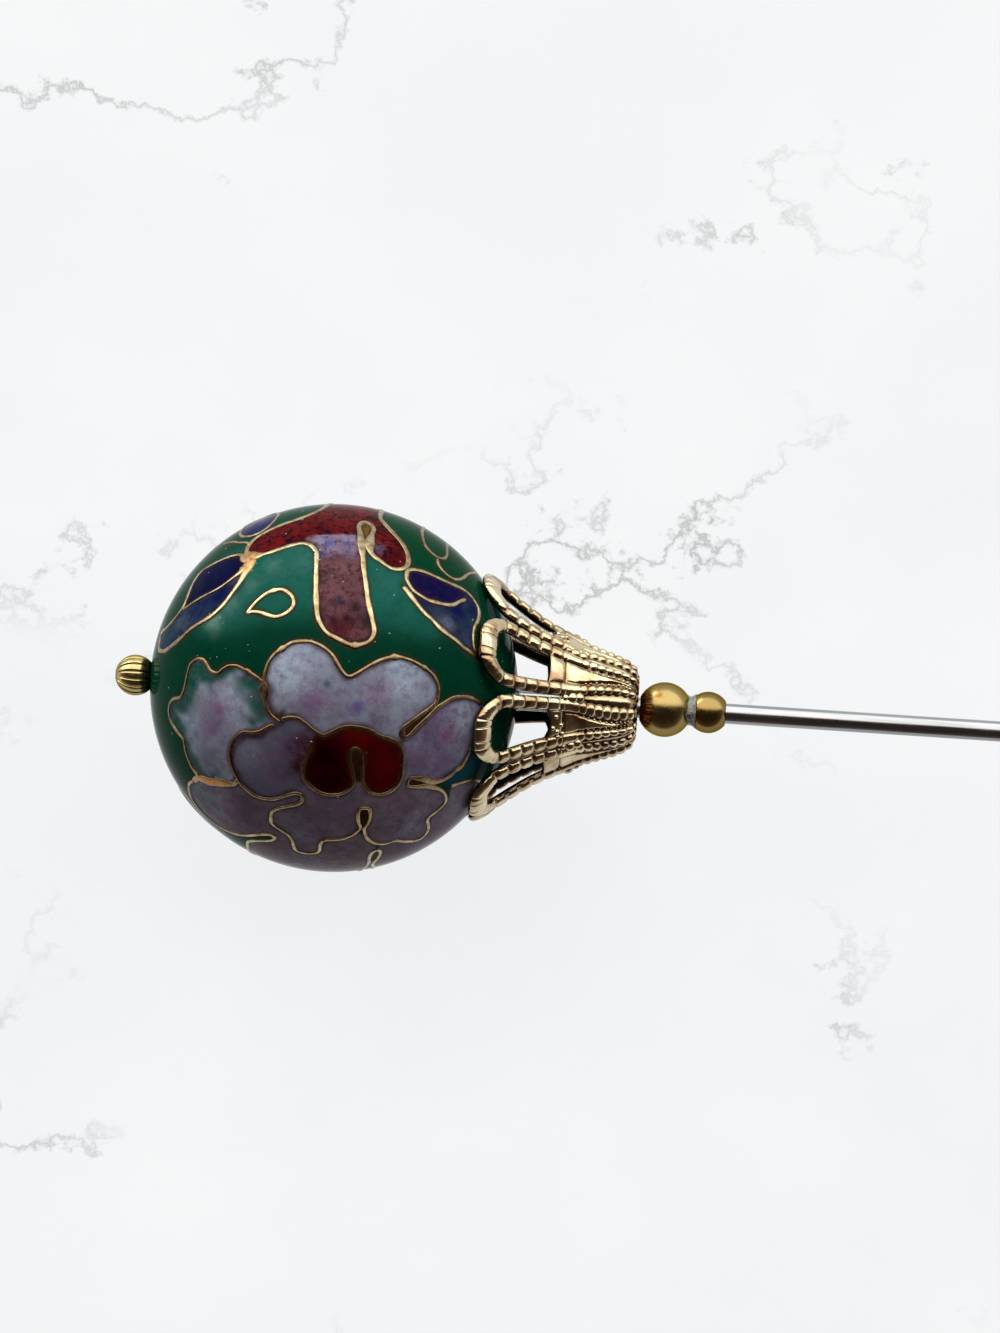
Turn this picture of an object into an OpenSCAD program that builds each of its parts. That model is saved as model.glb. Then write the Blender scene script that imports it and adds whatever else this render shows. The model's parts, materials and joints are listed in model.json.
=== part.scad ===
// Cloisonne hat pin, lying on a table as it would by itself.
// The head is a round enamelled ball between a ribbed end bead and a pierced, cone-shaped cap.
// Two plain brass beads follow the cap, and the steel pin runs through all of them.
// X points along the pin to its tip and Z is up. The origin is on the table, under the middle of the pin.
// Every sub-part is drawn along Z, with the ball's centre at 0 and the pin's tip at the top.
// The placing at the end of the file then lays the whole pin down.

/* [Pin] */
// Length of the whole hat pin, end bead to point
pin_length = 200; // [150:1:250]
// Diameter of the steel shaft
shaft_d = 1.1; // [1:0.05:1.15]
// Length of the ground point
point_length = 8; // [5:0.5:12]
// Radius of the blunted tip
tip_r = 0.08; // [0.05:0.01:0.12]

/* [Ball] */
// Outer diameter of the enamelled ball
ball_d = 20; // [19:0.5:22]
// Thickness of the enamel
enamel_t = 0.7; // [0.5:0.05:1]
// Thickness of the copper under the enamel
copper_t = 0.4; // [0.3:0.05:0.6]
// Diameter of the hole through the enamel
enamel_hole_d = 1.6; // [1.5:0.1:1.7]
// Depth of the small ground flat that the ball lies on
flat_depth = 0.08; // [0.06:0.01:0.1]

/* [Beads] */
// Diameter of the plain bead next to the cap
large_bead_d = 2.98; // [2.7:0.02:3.2]
// Diameter of the plain bead on the shaft's side
small_bead_d = 2.26; // [2:0.02:2.5]
// Diameter of the ribbed bead at the free end
end_bead_d = 2.22; // [2.1:0.02:2.6]
// Number of ribs on the end bead
rib_count = 15; // [12:1:18]
// Depth of the grooves between its ribs
groove_depth = 0.12; // [0.05:0.01:0.18]

/* [Cap] */
// Number of open loops around the cap
loop_count = 8; // [8:1:9]
// Turn of the cap about the pin, in degrees
cap_turn = 17.5; // [0:0.5:45]
// Width of a loop's strand along its sides
strand_w = 0.72; // [0.55:0.01:0.75]
// Width of the strand across the loop's tip
strand_tip_w = 0.88; // [0.7:0.01:0.95]
// Radius of the strand's middle line at the tip's corners
corner_r = 1.1; // [0.9:0.05:1.2]
// Height of the strands and ribs over the sheet's middle
crown_h = 0.28; // [0.2:0.01:0.3]
// Depth of the inside face under the sheet's middle
inside_h = 0.22; // [0.15:0.01:0.24]

/* [Fits] */
// Clearance around the shaft in every bore
bore_clearance = 0.03; // [0.02:0.01:0.06]
// Clearance along the pin between pieces that touch
seat_clearance = 0.02; // [0.01:0.01:0.05]

/* [Hidden] */

BRASS = [0.78, 0.6, 0.25];
PALE_GOLD = [0.86, 0.78, 0.56];
STEEL = [0.72, 0.73, 0.75];
ENAMEL_GREEN = [0, 0.34, 0.25];
COPPER = [0.7, 0.4, 0.26];
ROUND = 96;

shaft_r = shaft_d / 2;
ball_r = ball_d / 2;
ball_height = ball_r - flat_depth;
bore_r = shaft_r + bore_clearance;

// Half the length of a drilled ball, measured between the rims of its bore
function drilled_half(r, hole_r) = sqrt(r * r - hole_r * hole_r);

// Places along the pin, measured from the ball's centre
ball_scale = ball_r / 10;
cap_end = 16.5 * ball_scale;
large_half = drilled_half(large_bead_d / 2, bore_r);
small_half = drilled_half(small_bead_d / 2, bore_r);
large_at = cap_end + seat_clearance + large_half;
small_at = large_at + large_half + seat_clearance + small_half;
end_bead_r = end_bead_d / 2;
ball_rim_at = drilled_half(ball_r, enamel_hole_d / 2);
end_bead_at = -ball_rim_at - drilled_half(end_bead_r, enamel_hole_d / 2) - seat_clearance;
end_wall = 0.35;
shaft_from = end_bead_at - end_bead_r + end_wall + seat_clearance;
tip_at = pin_length + end_bead_at - end_bead_r;
shoulder_at = tip_at - point_length;

// Inside the head the wire narrows by a hair, so that the beads slide on. Its bare stretch is a true cylinder.
bare_from = small_at + small_half + 0.3;
hidden_end_r = shaft_r - 0.02;

// Steel pin

// The tip is a small ball that the cone of the point meets
module pin_shaft() {
    arc_steps = 6;
    tip_arc = [for (i = [0 : arc_steps])
        let (a = 90 * i / arc_steps) [tip_r * cos(a), tip_at - tip_r + tip_r * sin(a)]];
    color(STEEL)
        rotate_extrude($fn = ROUND)
            polygon(concat(
                [[0, shaft_from], [hidden_end_r, shaft_from], [shaft_r, bare_from], [shaft_r, shoulder_at]],
                tip_arc));
}

// Plain beads

module drilled_bead(d, at) {
    translate([0, 0, at])
        difference() {
            sphere(d = d, $fn = ROUND);
            cylinder(h = d + 1, r = bore_r, center = true, $fn = ROUND);
        }
}

module large_bead() {
    color(BRASS) drilled_bead(large_bead_d, large_at);
}

module small_bead() {
    color(BRASS) drilled_bead(small_bead_d, small_at);
}

// Ball

module hollow_ball(outer_r, wall, hole_r) {
    difference() {
        sphere(r = outer_r, $fn = ROUND);
        sphere(r = outer_r - wall, $fn = ROUND);
        cylinder(h = 2 * outer_r + 1, r = hole_r, center = true, $fn = ROUND);
    }
}

// Grinding by hand never leaves the ball quite round: it lies still on a flat, level when the pin lies down
module enamel_shell() {
    color(ENAMEL_GREEN)
        difference() {
            hollow_ball(ball_r, enamel_t, enamel_hole_d / 2);
            rotate([0, lie_slope - 90, 0])
                translate([0, 0, ball_height])
                    cylinder(h = 1, r = 3, $fn = ROUND);
        }
}

module copper_core() {
    color(COPPER) hollow_ball(ball_r - enamel_t - seat_clearance, copper_t, bore_r);
}

// Ribbed end bead

// Each rib is a round lobe, and the grooves fade into a smooth rim at both ends of the bead
RIB_STEPS = 4;
BEAD_ROWS = 12;
BEAD_POLE = 80;

function bead_lat(row) = -BEAD_POLE + 2 * BEAD_POLE * row / BEAD_ROWS;
function groove_fade(lat) = 1 - pow(abs(lat) / BEAD_POLE, 4);
function rib_lobe(turn) = 1 - abs(cos(rib_count * turn / 2));
function bead_point(row, step) =
    let (lat = bead_lat(row))
    let (turn = 360 * step / (rib_count * RIB_STEPS))
    let (r = end_bead_r - groove_depth * rib_lobe(turn) * groove_fade(lat))
    [r * cos(lat) * cos(turn), r * cos(lat) * sin(turn), r * sin(lat)];

module ribbed_ball() {
    steps = rib_count * RIB_STEPS;
    points = [for (row = [0 : BEAD_ROWS]) for (step = [0 : steps - 1]) bead_point(row, step)];
    bottom = [for (step = [0 : steps - 1]) step];
    top = [for (step = [steps - 1 : -1 : 0]) BEAD_ROWS * steps + step];
    sides = [for (row = [0 : BEAD_ROWS - 1]) for (step = [0 : steps - 1])
        let (next = (step + 1) % steps)
        each two_triangles(row * steps + step, (row + 1) * steps + step,
            (row + 1) * steps + next, row * steps + next)];
    polyhedron(points, concat([bottom, top], sides));
}

module end_bead() {
    color(BRASS)
        translate([0, 0, end_bead_at])
            difference() {
                ribbed_ball();
                translate([0, 0, end_wall - end_bead_r])
                    cylinder(h = 2 * end_bead_r, r = bore_r, $fn = ROUND);
            }
}

// Pierced cap

// The cap is one sheet that follows a middle line and stands in relief on both sides of it.
// Towards the pin's tip it is a ribbed cone. Towards the ball it parts into loops, each one strand
// that runs up one side, round two corners and down the other side of an open window.

// Middle line of the sheet, for a ball of 20 mm: columns are the place along the pin and the radius
CAP_LINE = [
    [16.26, 0.35],
    [16.26, 1.5],
    [16.06, 2],
    [15.6, 2.34],
    [14.9, 2.61],
    [14, 2.92],
    [13.2, 3.2],
    [12.4, 3.6],
    [11.1, 4.26],
    [10, 4.98],
    [9, 5.72],
    [8.2, 6.34],
    [7.6, 6.84],
];
// Row of the middle line at which the sheet parts into loops
BASE_ROW = 7;

// Place along the pin and radius at a fractional row, on a smooth curve through the line's points
function line_row(i) = ball_scale * CAP_LINE[max(0, min(len(CAP_LINE) - 1, i))];
function smooth_row(t) =
    let (i = min(floor(t), len(CAP_LINE) - 2))
    let (f = t - i)
    let (a = line_row(i - 1))
    let (b = line_row(i))
    let (c = line_row(i + 1))
    let (d = line_row(i + 2))
    0.5 * (2 * b + (c - a) * f + (2 * a - 5 * b + 4 * c - d) * f * f
        + (3 * b - a - 3 * c + d) * f * f * f);

// Direction out of the sheet at a fractional row, as parts along the pin and away from it
function row_normal(t) =
    let (step = smooth_row(min(t + 0.05, len(CAP_LINE) - 1)) - smooth_row(max(t - 0.05, 0)))
    [step[1], -step[0]] / norm(step);

// Fractional row that lies at a given place along the pin, by halving the stretch of loops
function row_at(at, low = BASE_ROW, high = len(CAP_LINE) - 1, turns = 14) =
    turns == 0 ? (low + high) / 2
    : smooth_row((low + high) / 2)[0] > at ? row_at(at, (low + high) / 2, high, turns - 1)
    : row_at(at, low, (low + high) / 2, turns - 1);

// Point of the sheet at a row and a turn about the pin, lifted off the middle line
function sheet_point(t, turn, lift) =
    let (p = smooth_row(t) + lift * row_normal(t))
    [p[1] * cos(turn), p[1] * sin(turn), p[0]];

// Plan of one loop, with x across it in mm and the other value along the pin
base_at = smooth_row(BASE_ROW)[0];
tip_line_at = 7.72 * ball_scale + strand_tip_w / 2;
corner_at = tip_line_at + corner_r;
base_gap = 0.12;
corner_gap = 0.4;

function gap_at(at) =
    let (f = (base_at - at) / (base_at - corner_at))
    base_gap + (corner_gap - base_gap) * f * f;
function side_x(at) = PI * smooth_row(row_at(at))[1] / loop_count - gap_at(at) / 2 - strand_w / 2;

SIDE_STEPS = 7;
CORNER_STEPS = 5;
TIP_STEPS = 2;
LOOP_STEPS = 2 * SIDE_STEPS + 2 * CORNER_STEPS + TIP_STEPS;
flat_x = side_x(corner_at) - corner_r;

// Step along the strand, counted from either side of the loop to the middle of its tip
function side_step(i) = min(i, LOOP_STEPS - i);
function strand_angle(i) = max(0, min(90, 90 * (side_step(i) - SIDE_STEPS) / CORNER_STEPS));
function strand_middle(i) =
    let (n = side_step(i))
    let (at = base_at + (corner_at - base_at) * n / SIDE_STEPS)
    let (a = strand_angle(i))
    let (flat = max(0, n - SIDE_STEPS - CORNER_STEPS) / (TIP_STEPS / 2))
    n <= SIDE_STEPS ? [side_x(at), at]
    : [flat_x * (1 - flat) + corner_r * cos(a), corner_at - corner_r * sin(a)];

// The strand is three facets wide: place across it from the outer to the inner edge, and its lifts
ACROSS = [1, 0.4, -0.4, -1];
OUTSIDE = [0.3, 1, 1, 0.3];
INSIDE = [0.5, 1, 1, 0.5];
STRAND_LAST = len(ACROSS) - 1;

function strand_plan(i, k) =
    let (a = strand_angle(i))
    let (half = (strand_w + (strand_tip_w - strand_w) * sin(a)) / 2)
    let (p = strand_middle(i) + half * ACROSS[k] * [cos(a), -sin(a)])
    [i < LOOP_STEPS / 2 ? -p[0] : p[0], p[1]];
function plan_turn(p) = p[0] / smooth_row(row_at(p[1]))[1] * 180 / PI;
function strand_point(loop, i, k, lift) =
    let (p = strand_plan(i, k))
    sheet_point(row_at(p[1]), cap_turn + 360 * loop / loop_count + plan_turn(p), lift);

// The cone has twelve columns to a loop: the gap's middle, one strand, the window and the other strand
COLUMNS = 12;
column_count = COLUMNS * loop_count;
loop_turn = 360 / loop_count;
strand_turns = [for (k = [0 : STRAND_LAST]) plan_turn(strand_plan(0, k))];
window_turns = [for (i = [1 : 3]) strand_turns[STRAND_LAST] * (1 - i / 2)];
base_turns = concat([-loop_turn / 2], strand_turns, window_turns,
    [for (k = [STRAND_LAST : -1 : 0]) -strand_turns[k]]);
column_out = concat([-0.1], OUTSIDE, [0.35, 0.3, 0.35], OUTSIDE);
column_in = concat([0.8], INSIDE, [0.8, 0.8, 0.8], INSIDE);

// Columns spread evenly towards the small end, and the relief fades where the end is rounded
function cone_turn(row, column) =
    let (c = column % COLUMNS)
    let (f = (BASE_ROW - row) / BASE_ROW)
    let (even = loop_turn * (c / COLUMNS - 0.5))
    cap_turn + loop_turn * floor(column / COLUMNS) + base_turns[c] * (1 - f) + even * f;
function relief(row) = min(1, row / 3);
function out_lift(row, column) =
    crown_h * (0.5 + (column_out[column % COLUMNS] - 0.5) * relief(row));
function cone_point(row, column, outside) =
    sheet_point(row, cone_turn(row, column),
        outside ? out_lift(row, column) : -inside_h * column_in[column % COLUMNS]);

// A small plate closes each window's foot, as far as the strand's first steps
PLATE_STEPS = 2;
PLATE_COLUMNS = len(window_turns);
function plate_point(loop, i, j, outside) =
    let (p = strand_plan(i, STRAND_LAST))
    let (turn = plan_turn(p) * (1 - 2 * j / (PLATE_COLUMNS + 1)))
    sheet_point(row_at(p[1]), cap_turn + loop_turn * loop + turn, outside ? 0.3 * crown_h : -0.8 * inside_h);

// Two triangles that fill a four-sided cell
function two_triangles(a, b, c, d) = [[a, b, c], [a, c, d]];

// Numbers of the points: the cone's outside and inside, each loop's strand, outside and inside,
// and then each loop's plate, outside and inside
cone_size = (BASE_ROW + 1) * column_count;
strand_size = (LOOP_STEPS - 1) * len(ACROSS);
plate_size = PLATE_STEPS * PLATE_COLUMNS;
plate_start = 2 * cone_size + 2 * loop_count * strand_size;
function cone_id(row, column, outside) =
    (outside ? 0 : cone_size) + row * column_count + column % column_count;
function strand_id(loop, i, k, outside) =
    i == 0 ? cone_id(BASE_ROW, COLUMNS * loop + 1 + k, outside)
    : i == LOOP_STEPS ? cone_id(BASE_ROW, COLUMNS * loop + COLUMNS - 1 - k, outside)
    : 2 * cone_size + (2 * loop + (outside ? 0 : 1)) * strand_size + (i - 1) * len(ACROSS) + k;
function plate_id(loop, i, j, outside) =
    i == 0 ? cone_id(BASE_ROW, COLUMNS * loop + len(ACROSS) + j, outside)
    : j == 0 ? strand_id(loop, i, STRAND_LAST, outside)
    : j == PLATE_COLUMNS + 1 ? strand_id(loop, LOOP_STEPS - i, STRAND_LAST, outside)
    : plate_start + (2 * loop + (outside ? 0 : 1)) * plate_size + (i - 1) * PLATE_COLUMNS + j - 1;

// Columns of the cone's last row that lie open, under the gaps between loops
open_columns = [0, COLUMNS - 1];

module pierced_sheet() {
    cone_points = [for (outside = [true, false]) for (row = [0 : BASE_ROW])
        for (column = [0 : column_count - 1]) cone_point(row, column, outside)];
    strand_points = [for (loop = [0 : loop_count - 1]) for (outside = [true, false])
        for (i = [1 : LOOP_STEPS - 1]) for (k = [0 : STRAND_LAST])
            strand_point(loop, i, k, outside ? crown_h * OUTSIDE[k] : -inside_h * INSIDE[k])];
    plate_points = [for (loop = [0 : loop_count - 1]) for (outside = [true, false])
        for (i = [1 : PLATE_STEPS]) for (j = [1 : PLATE_COLUMNS]) plate_point(loop, i, j, outside)];
    cone_cells = [for (row = [0 : BASE_ROW - 1]) for (c = [0 : column_count - 1])
        each concat(
            two_triangles(cone_id(row, c, true), cone_id(row, c + 1, true),
                cone_id(row + 1, c + 1, true), cone_id(row + 1, c, true)),
            two_triangles(cone_id(row, c, false), cone_id(row + 1, c, false),
                cone_id(row + 1, c + 1, false), cone_id(row, c + 1, false)))];
    strand_cells = [for (loop = [0 : loop_count - 1])
        for (i = [0 : LOOP_STEPS - 1]) for (k = [0 : STRAND_LAST - 1])
        each concat(
            two_triangles(strand_id(loop, i, k, true), strand_id(loop, i, k + 1, true),
                strand_id(loop, i + 1, k + 1, true), strand_id(loop, i + 1, k, true)),
            two_triangles(strand_id(loop, i, k, false), strand_id(loop, i + 1, k, false),
                strand_id(loop, i + 1, k + 1, false), strand_id(loop, i, k + 1, false)))];
    outer_edges = [for (loop = [0 : loop_count - 1]) for (i = [0 : LOOP_STEPS - 1])
        each two_triangles(strand_id(loop, i, 0, true), strand_id(loop, i + 1, 0, true),
            strand_id(loop, i + 1, 0, false), strand_id(loop, i, 0, false))];
    inner_edges = [for (loop = [0 : loop_count - 1]) for (i = [PLATE_STEPS : LOOP_STEPS - PLATE_STEPS - 1])
        each two_triangles(strand_id(loop, i + 1, STRAND_LAST, true), strand_id(loop, i, STRAND_LAST, true),
            strand_id(loop, i, STRAND_LAST, false), strand_id(loop, i + 1, STRAND_LAST, false))];
    plate_cells = [for (loop = [0 : loop_count - 1])
        for (i = [0 : PLATE_STEPS - 1]) for (j = [0 : PLATE_COLUMNS])
        each concat(
            two_triangles(plate_id(loop, i, j, true), plate_id(loop, i, j + 1, true),
                plate_id(loop, i + 1, j + 1, true), plate_id(loop, i + 1, j, true)),
            two_triangles(plate_id(loop, i, j, false), plate_id(loop, i + 1, j, false),
                plate_id(loop, i + 1, j + 1, false), plate_id(loop, i, j + 1, false)))];
    plate_edges = [for (loop = [0 : loop_count - 1]) for (j = [0 : PLATE_COLUMNS])
        each two_triangles(plate_id(loop, PLATE_STEPS, j, true), plate_id(loop, PLATE_STEPS, j + 1, true),
            plate_id(loop, PLATE_STEPS, j + 1, false), plate_id(loop, PLATE_STEPS, j, false))];
    base_edges = [for (loop = [0 : loop_count - 1]) for (open = open_columns)
        let (c = COLUMNS * loop + open)
        each two_triangles(cone_id(BASE_ROW, c, true), cone_id(BASE_ROW, c + 1, true),
            cone_id(BASE_ROW, c + 1, false), cone_id(BASE_ROW, c, false))];
    end_edge = [for (c = [0 : column_count - 1])
        each two_triangles(cone_id(0, c + 1, true), cone_id(0, c, true),
            cone_id(0, c, false), cone_id(0, c + 1, false))];
    polyhedron(concat(cone_points, strand_points, plate_points),
        concat(cone_cells, strand_cells, plate_cells,
            outer_edges, inner_edges, plate_edges, base_edges, end_edge));
}

module cone_cap() {
    color(PALE_GOLD)
        difference() {
            pierced_sheet();
            cylinder(h = 2 * cap_end, r = bore_r, $fn = ROUND);
        }
}

// The pin laid down

// The ball's flat carries the pin with the shoulder of the point, or with the tip if the point is long.
// The origin is half way between the end bead and the tip.
shoulder_slope = asin(ball_height / norm([shoulder_at, shaft_r])) - atan2(shaft_r, shoulder_at);
tip_slope = asin((ball_height - tip_r) / (tip_at - tip_r));
lie_slope = min(shoulder_slope, tip_slope);
left_end = end_bead_at * cos(lie_slope) - end_bead_r;
right_end = (tip_at - tip_r) * cos(lie_slope) + tip_r;

module laid_down() {
    translate([-(left_end + right_end) / 2, 0, ball_height])
        rotate([0, lie_slope, 0])
            rotate([180, 0, 0])
                rotate([0, 90, 0])
                    children();
}

laid_down() pin_shaft();
laid_down() small_bead();
laid_down() large_bead();
laid_down() cone_cap();
laid_down() enamel_shell();
laid_down() copper_core();
laid_down() end_bead();
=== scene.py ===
# Looks of a cloisonne hat pin that lies on a pale table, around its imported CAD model
import json
import math

import bpy
import numpy as np
from mathutils import Matrix, Vector


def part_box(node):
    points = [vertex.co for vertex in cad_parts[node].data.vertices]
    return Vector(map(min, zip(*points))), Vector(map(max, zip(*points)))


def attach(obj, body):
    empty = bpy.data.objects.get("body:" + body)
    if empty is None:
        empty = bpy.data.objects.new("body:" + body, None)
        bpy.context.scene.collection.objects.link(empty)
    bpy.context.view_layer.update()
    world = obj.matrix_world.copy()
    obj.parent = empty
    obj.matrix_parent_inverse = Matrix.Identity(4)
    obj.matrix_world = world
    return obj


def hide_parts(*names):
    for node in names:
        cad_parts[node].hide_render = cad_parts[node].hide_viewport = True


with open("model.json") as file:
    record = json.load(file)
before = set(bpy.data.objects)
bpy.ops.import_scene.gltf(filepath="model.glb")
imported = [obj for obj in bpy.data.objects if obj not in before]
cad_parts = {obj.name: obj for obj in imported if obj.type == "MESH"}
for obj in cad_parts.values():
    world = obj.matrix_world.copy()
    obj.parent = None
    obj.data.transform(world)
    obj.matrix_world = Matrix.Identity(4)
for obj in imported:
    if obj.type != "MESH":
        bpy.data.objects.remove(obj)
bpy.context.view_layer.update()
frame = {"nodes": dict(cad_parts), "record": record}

# Places and sizes

# Shapes are worked out in millimetres in the pin's own frame and placed from the CAD model.
# In that frame z runs along the pin to its tip, x points up to the viewer and the ball's centre is at 0.
MM = 0.001

shaft_mount = frame["record"]["mounts"][0]
AXIS = Vector(shaft_mount["axis"]).normalized()
SIDE = Vector((0, 1, 0))
UP = AXIS.cross(SIDE)


def on_axis(x):
    """Point of the pin's axis at a given world x, in metres"""
    start = Vector(shaft_mount["pos_m"])
    return start + AXIS * ((x - start.x) / AXIS.x)


def across(node):
    """Diameter of a round node, in millimetres, from its width across the pin"""
    low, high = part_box(node)
    return (high.y - low.y) / MM


def place(node):
    """Place of a round node's middle along the pin, in millimetres from the ball's centre"""
    low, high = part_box(node)
    return (on_axis((low.x + high.x) / 2) - CENTRE).dot(AXIS) / MM


BALL_R = across("enamel_shell") / 2
# The wires stand this high over the enamel, whose thickness is counted from their tops
WIRE_HEIGHT = 0.045
ENAMEL_THICKNESS = 0.7
ENAMEL_R = BALL_R - WIRE_HEIGHT
ENAMEL_INSIDE_R = BALL_R - ENAMEL_THICKNESS
HOLE_R = 0.8
SHAFT_R = shaft_mount["dims"]["r_mm"]
BORE_R = SHAFT_R + 0.03
LARGE_R = across("large_bead") / 2
SMALL_R = across("small_bead") / 2
END_R = across("end_bead") / 2
SEAT = 0.02
END_AT = -math.sqrt(BALL_R ** 2 - HOLE_R ** 2) - math.sqrt(END_R ** 2 - HOLE_R ** 2) - SEAT
PIN_LENGTH = 200
TIP_AT = PIN_LENGTH + END_AT - END_R
POINT_LENGTH = 8
TIP_R = 0.08

# The ball's centre lies back along the axis from the pin's tip, which is a small ball
tip_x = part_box("pin_shaft")[1].x
CENTRE = on_axis(tip_x - (TIP_R + (TIP_AT - TIP_R) * AXIS.x) * MM)
LARGE_AT = place("large_bead")
SMALL_AT = place("small_bead")

TO_WORLD = np.array([UP, -SIDE, AXIS])


def to_world(points):
    """Places in metres of points given in the pin's frame in millimetres"""
    return np.asarray(points) @ TO_WORLD * MM + np.array(CENTRE)


# Colours

def linear(red, green, blue):
    """Linear colour of a screen colour given in steps of 255"""
    return tuple((v / 255 / 12.92) if v < 10.3 else ((v / 255 + 0.055) / 1.055) ** 2.4
                 for v in (red, green, blue))


# Meshes

def make_piece(name, points, faces, material, colours=None):
    """A mesh object from points in the pin's frame, with optional colours for each point"""
    mesh = bpy.data.meshes.new(name)
    mesh.from_pydata(to_world(points).tolist(), [], faces)
    mesh.polygons.foreach_set("use_smooth", [True] * len(mesh.polygons))
    for label, values in (colours or {}).items():
        layer = mesh.color_attributes.new(label, "FLOAT_COLOR", "POINT")
        layer.data.foreach_set("color", np.asarray(values, dtype=np.float32).ravel())
    mesh.materials.append(material)
    mesh.validate()
    piece = bpy.data.objects.new(name, mesh)
    bpy.context.scene.collection.objects.link(piece)
    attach(piece, "root")
    return piece


def grid_faces(rows, columns, start=0, flip=False, ring=True, joined=False, capped=False):
    """Faces between rows of points. A row closes as a ring, and the rows may join or end in caps."""
    faces = []
    for row in range(rows if joined else rows - 1):
        a, b = start + row * columns, start + (row + 1) % rows * columns
        for k in range(columns if ring else columns - 1):
            n = (k + 1) % columns
            faces.append((a + k, b + k, b + n, a + n) if flip else (a + k, a + n, b + n, b + k))
    if capped:
        first = tuple(range(start, start + columns))
        last = tuple(range(start + (rows - 1) * columns, start + rows * columns))
        faces += [first, last[::-1]] if flip else [first[::-1], last]
    return faces


def tone_colours(tone, alpha=1.0):
    """Colours of grey tones, one for each point"""
    return np.stack([tone, tone, tone, np.broadcast_to(alpha, tone.shape)], axis=1)


def turned(profile, segments, closed=False):
    """Points and faces of a profile of (radius, place) pairs turned about the pin, capped unless it closes"""
    turns = np.arange(segments) * 2 * math.pi / segments
    points = []
    for radius, at in profile:
        points += [(radius * math.cos(t), radius * math.sin(t), at) for t in turns]
    return np.array(points), grid_faces(len(profile), segments, joined=closed, capped=not closed)


def arc(radius, at, first, last, steps):
    """Profile of a circle's arc about a place on the axis, from one latitude to another, in degrees"""
    lats = np.radians(np.linspace(first, last, steps + 1))
    return [(radius * math.cos(a), at + radius * math.sin(a)) for a in lats]


# Materials

def new_material(name, metallic=0.0):
    """A material, its node tree and its shader"""
    material = bpy.data.materials.new(name)
    material.use_nodes = True
    shader = material.node_tree.nodes["Principled BSDF"]
    shader.inputs["Metallic"].default_value = metallic
    return material, material.node_tree, shader


def add(tree, kind, **values):
    """A new node with values for its inputs or settings"""
    node = tree.nodes.new(kind)
    for key, value in values.items():
        if key in node.inputs:
            node.inputs[key].default_value = value
        else:
            setattr(node, key, value)
    return node


def noise(tree, scale, detail=3, roughness=0.55, stretch=(1, 1, 1)):
    """Noise in object space, with its scale in waves to a millimetre"""
    where = add(tree, "ShaderNodeTexCoord")
    mapping = add(tree, "ShaderNodeMapping")
    mapping.inputs["Scale"].default_value = stretch
    texture = add(tree, "ShaderNodeTexNoise")
    texture.inputs["Scale"].default_value = scale / MM
    texture.inputs["Detail"].default_value = detail
    texture.inputs["Roughness"].default_value = roughness
    tree.links.new(where.outputs["Object"], mapping.inputs["Vector"])
    tree.links.new(mapping.outputs["Vector"], texture.inputs["Vector"])
    return texture.outputs["Fac"]


def ramp(tree, value, stops):
    """Colour ramp over a value, with stops of (position, colour or grey)"""
    node = add(tree, "ShaderNodeValToRGB")
    elements = node.color_ramp.elements
    while len(elements) < len(stops):
        elements.new(0.5)
    for element, (position, colour) in zip(elements, stops):
        element.position = position
        element.color = (*colour, 1) if isinstance(colour, tuple) else (colour, colour, colour, 1)
    tree.links.new(value, node.inputs["Fac"])
    return node.outputs["Color"]


def mix(tree, factor, first, second, blend="MIX"):
    """Mix of two colours, each a socket or a constant"""
    node = add(tree, "ShaderNodeMix", data_type="RGBA", blend_type=blend)
    for socket, value in ((node.inputs["Factor"], factor), (node.inputs[6], first), (node.inputs[7], second)):
        if isinstance(value, bpy.types.NodeSocket):
            tree.links.new(value, socket)
        elif isinstance(value, tuple):
            socket.default_value = (*value, 1)
        else:
            socket.default_value = value
    return node.outputs[2]


def add_bump(tree, shader, height, strength, distance):
    """Bump from a height, with its full distance in millimetres"""
    bump = add(tree, "ShaderNodeBump")
    bump.inputs["Strength"].default_value = strength
    bump.inputs["Distance"].default_value = distance * MM
    tree.links.new(height, bump.inputs["Height"])
    tree.links.new(bump.outputs["Normal"], shader.inputs["Normal"])


def times(tree, first, second):
    """Product of two values"""
    node = add(tree, "ShaderNodeMath", operation="MULTIPLY")
    tree.links.new(first, node.inputs[0])
    tree.links.new(second, node.inputs[1])
    return node.outputs[0]


def tone_of(tree):
    """The piece's own tone, which says where its metal is tarnished, and on the cap's strand edges also where
    shade is painted
    """
    return add(tree, "ShaderNodeAttribute", attribute_name="tone").outputs


def feed(tree, shader, colour, roughness=None):
    """Link a colour to the shader, and a roughness where it is uneven"""
    tree.links.new(colour, shader.inputs["Base Color"])
    if roughness:
        tree.links.new(roughness, shader.inputs["Roughness"])


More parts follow.
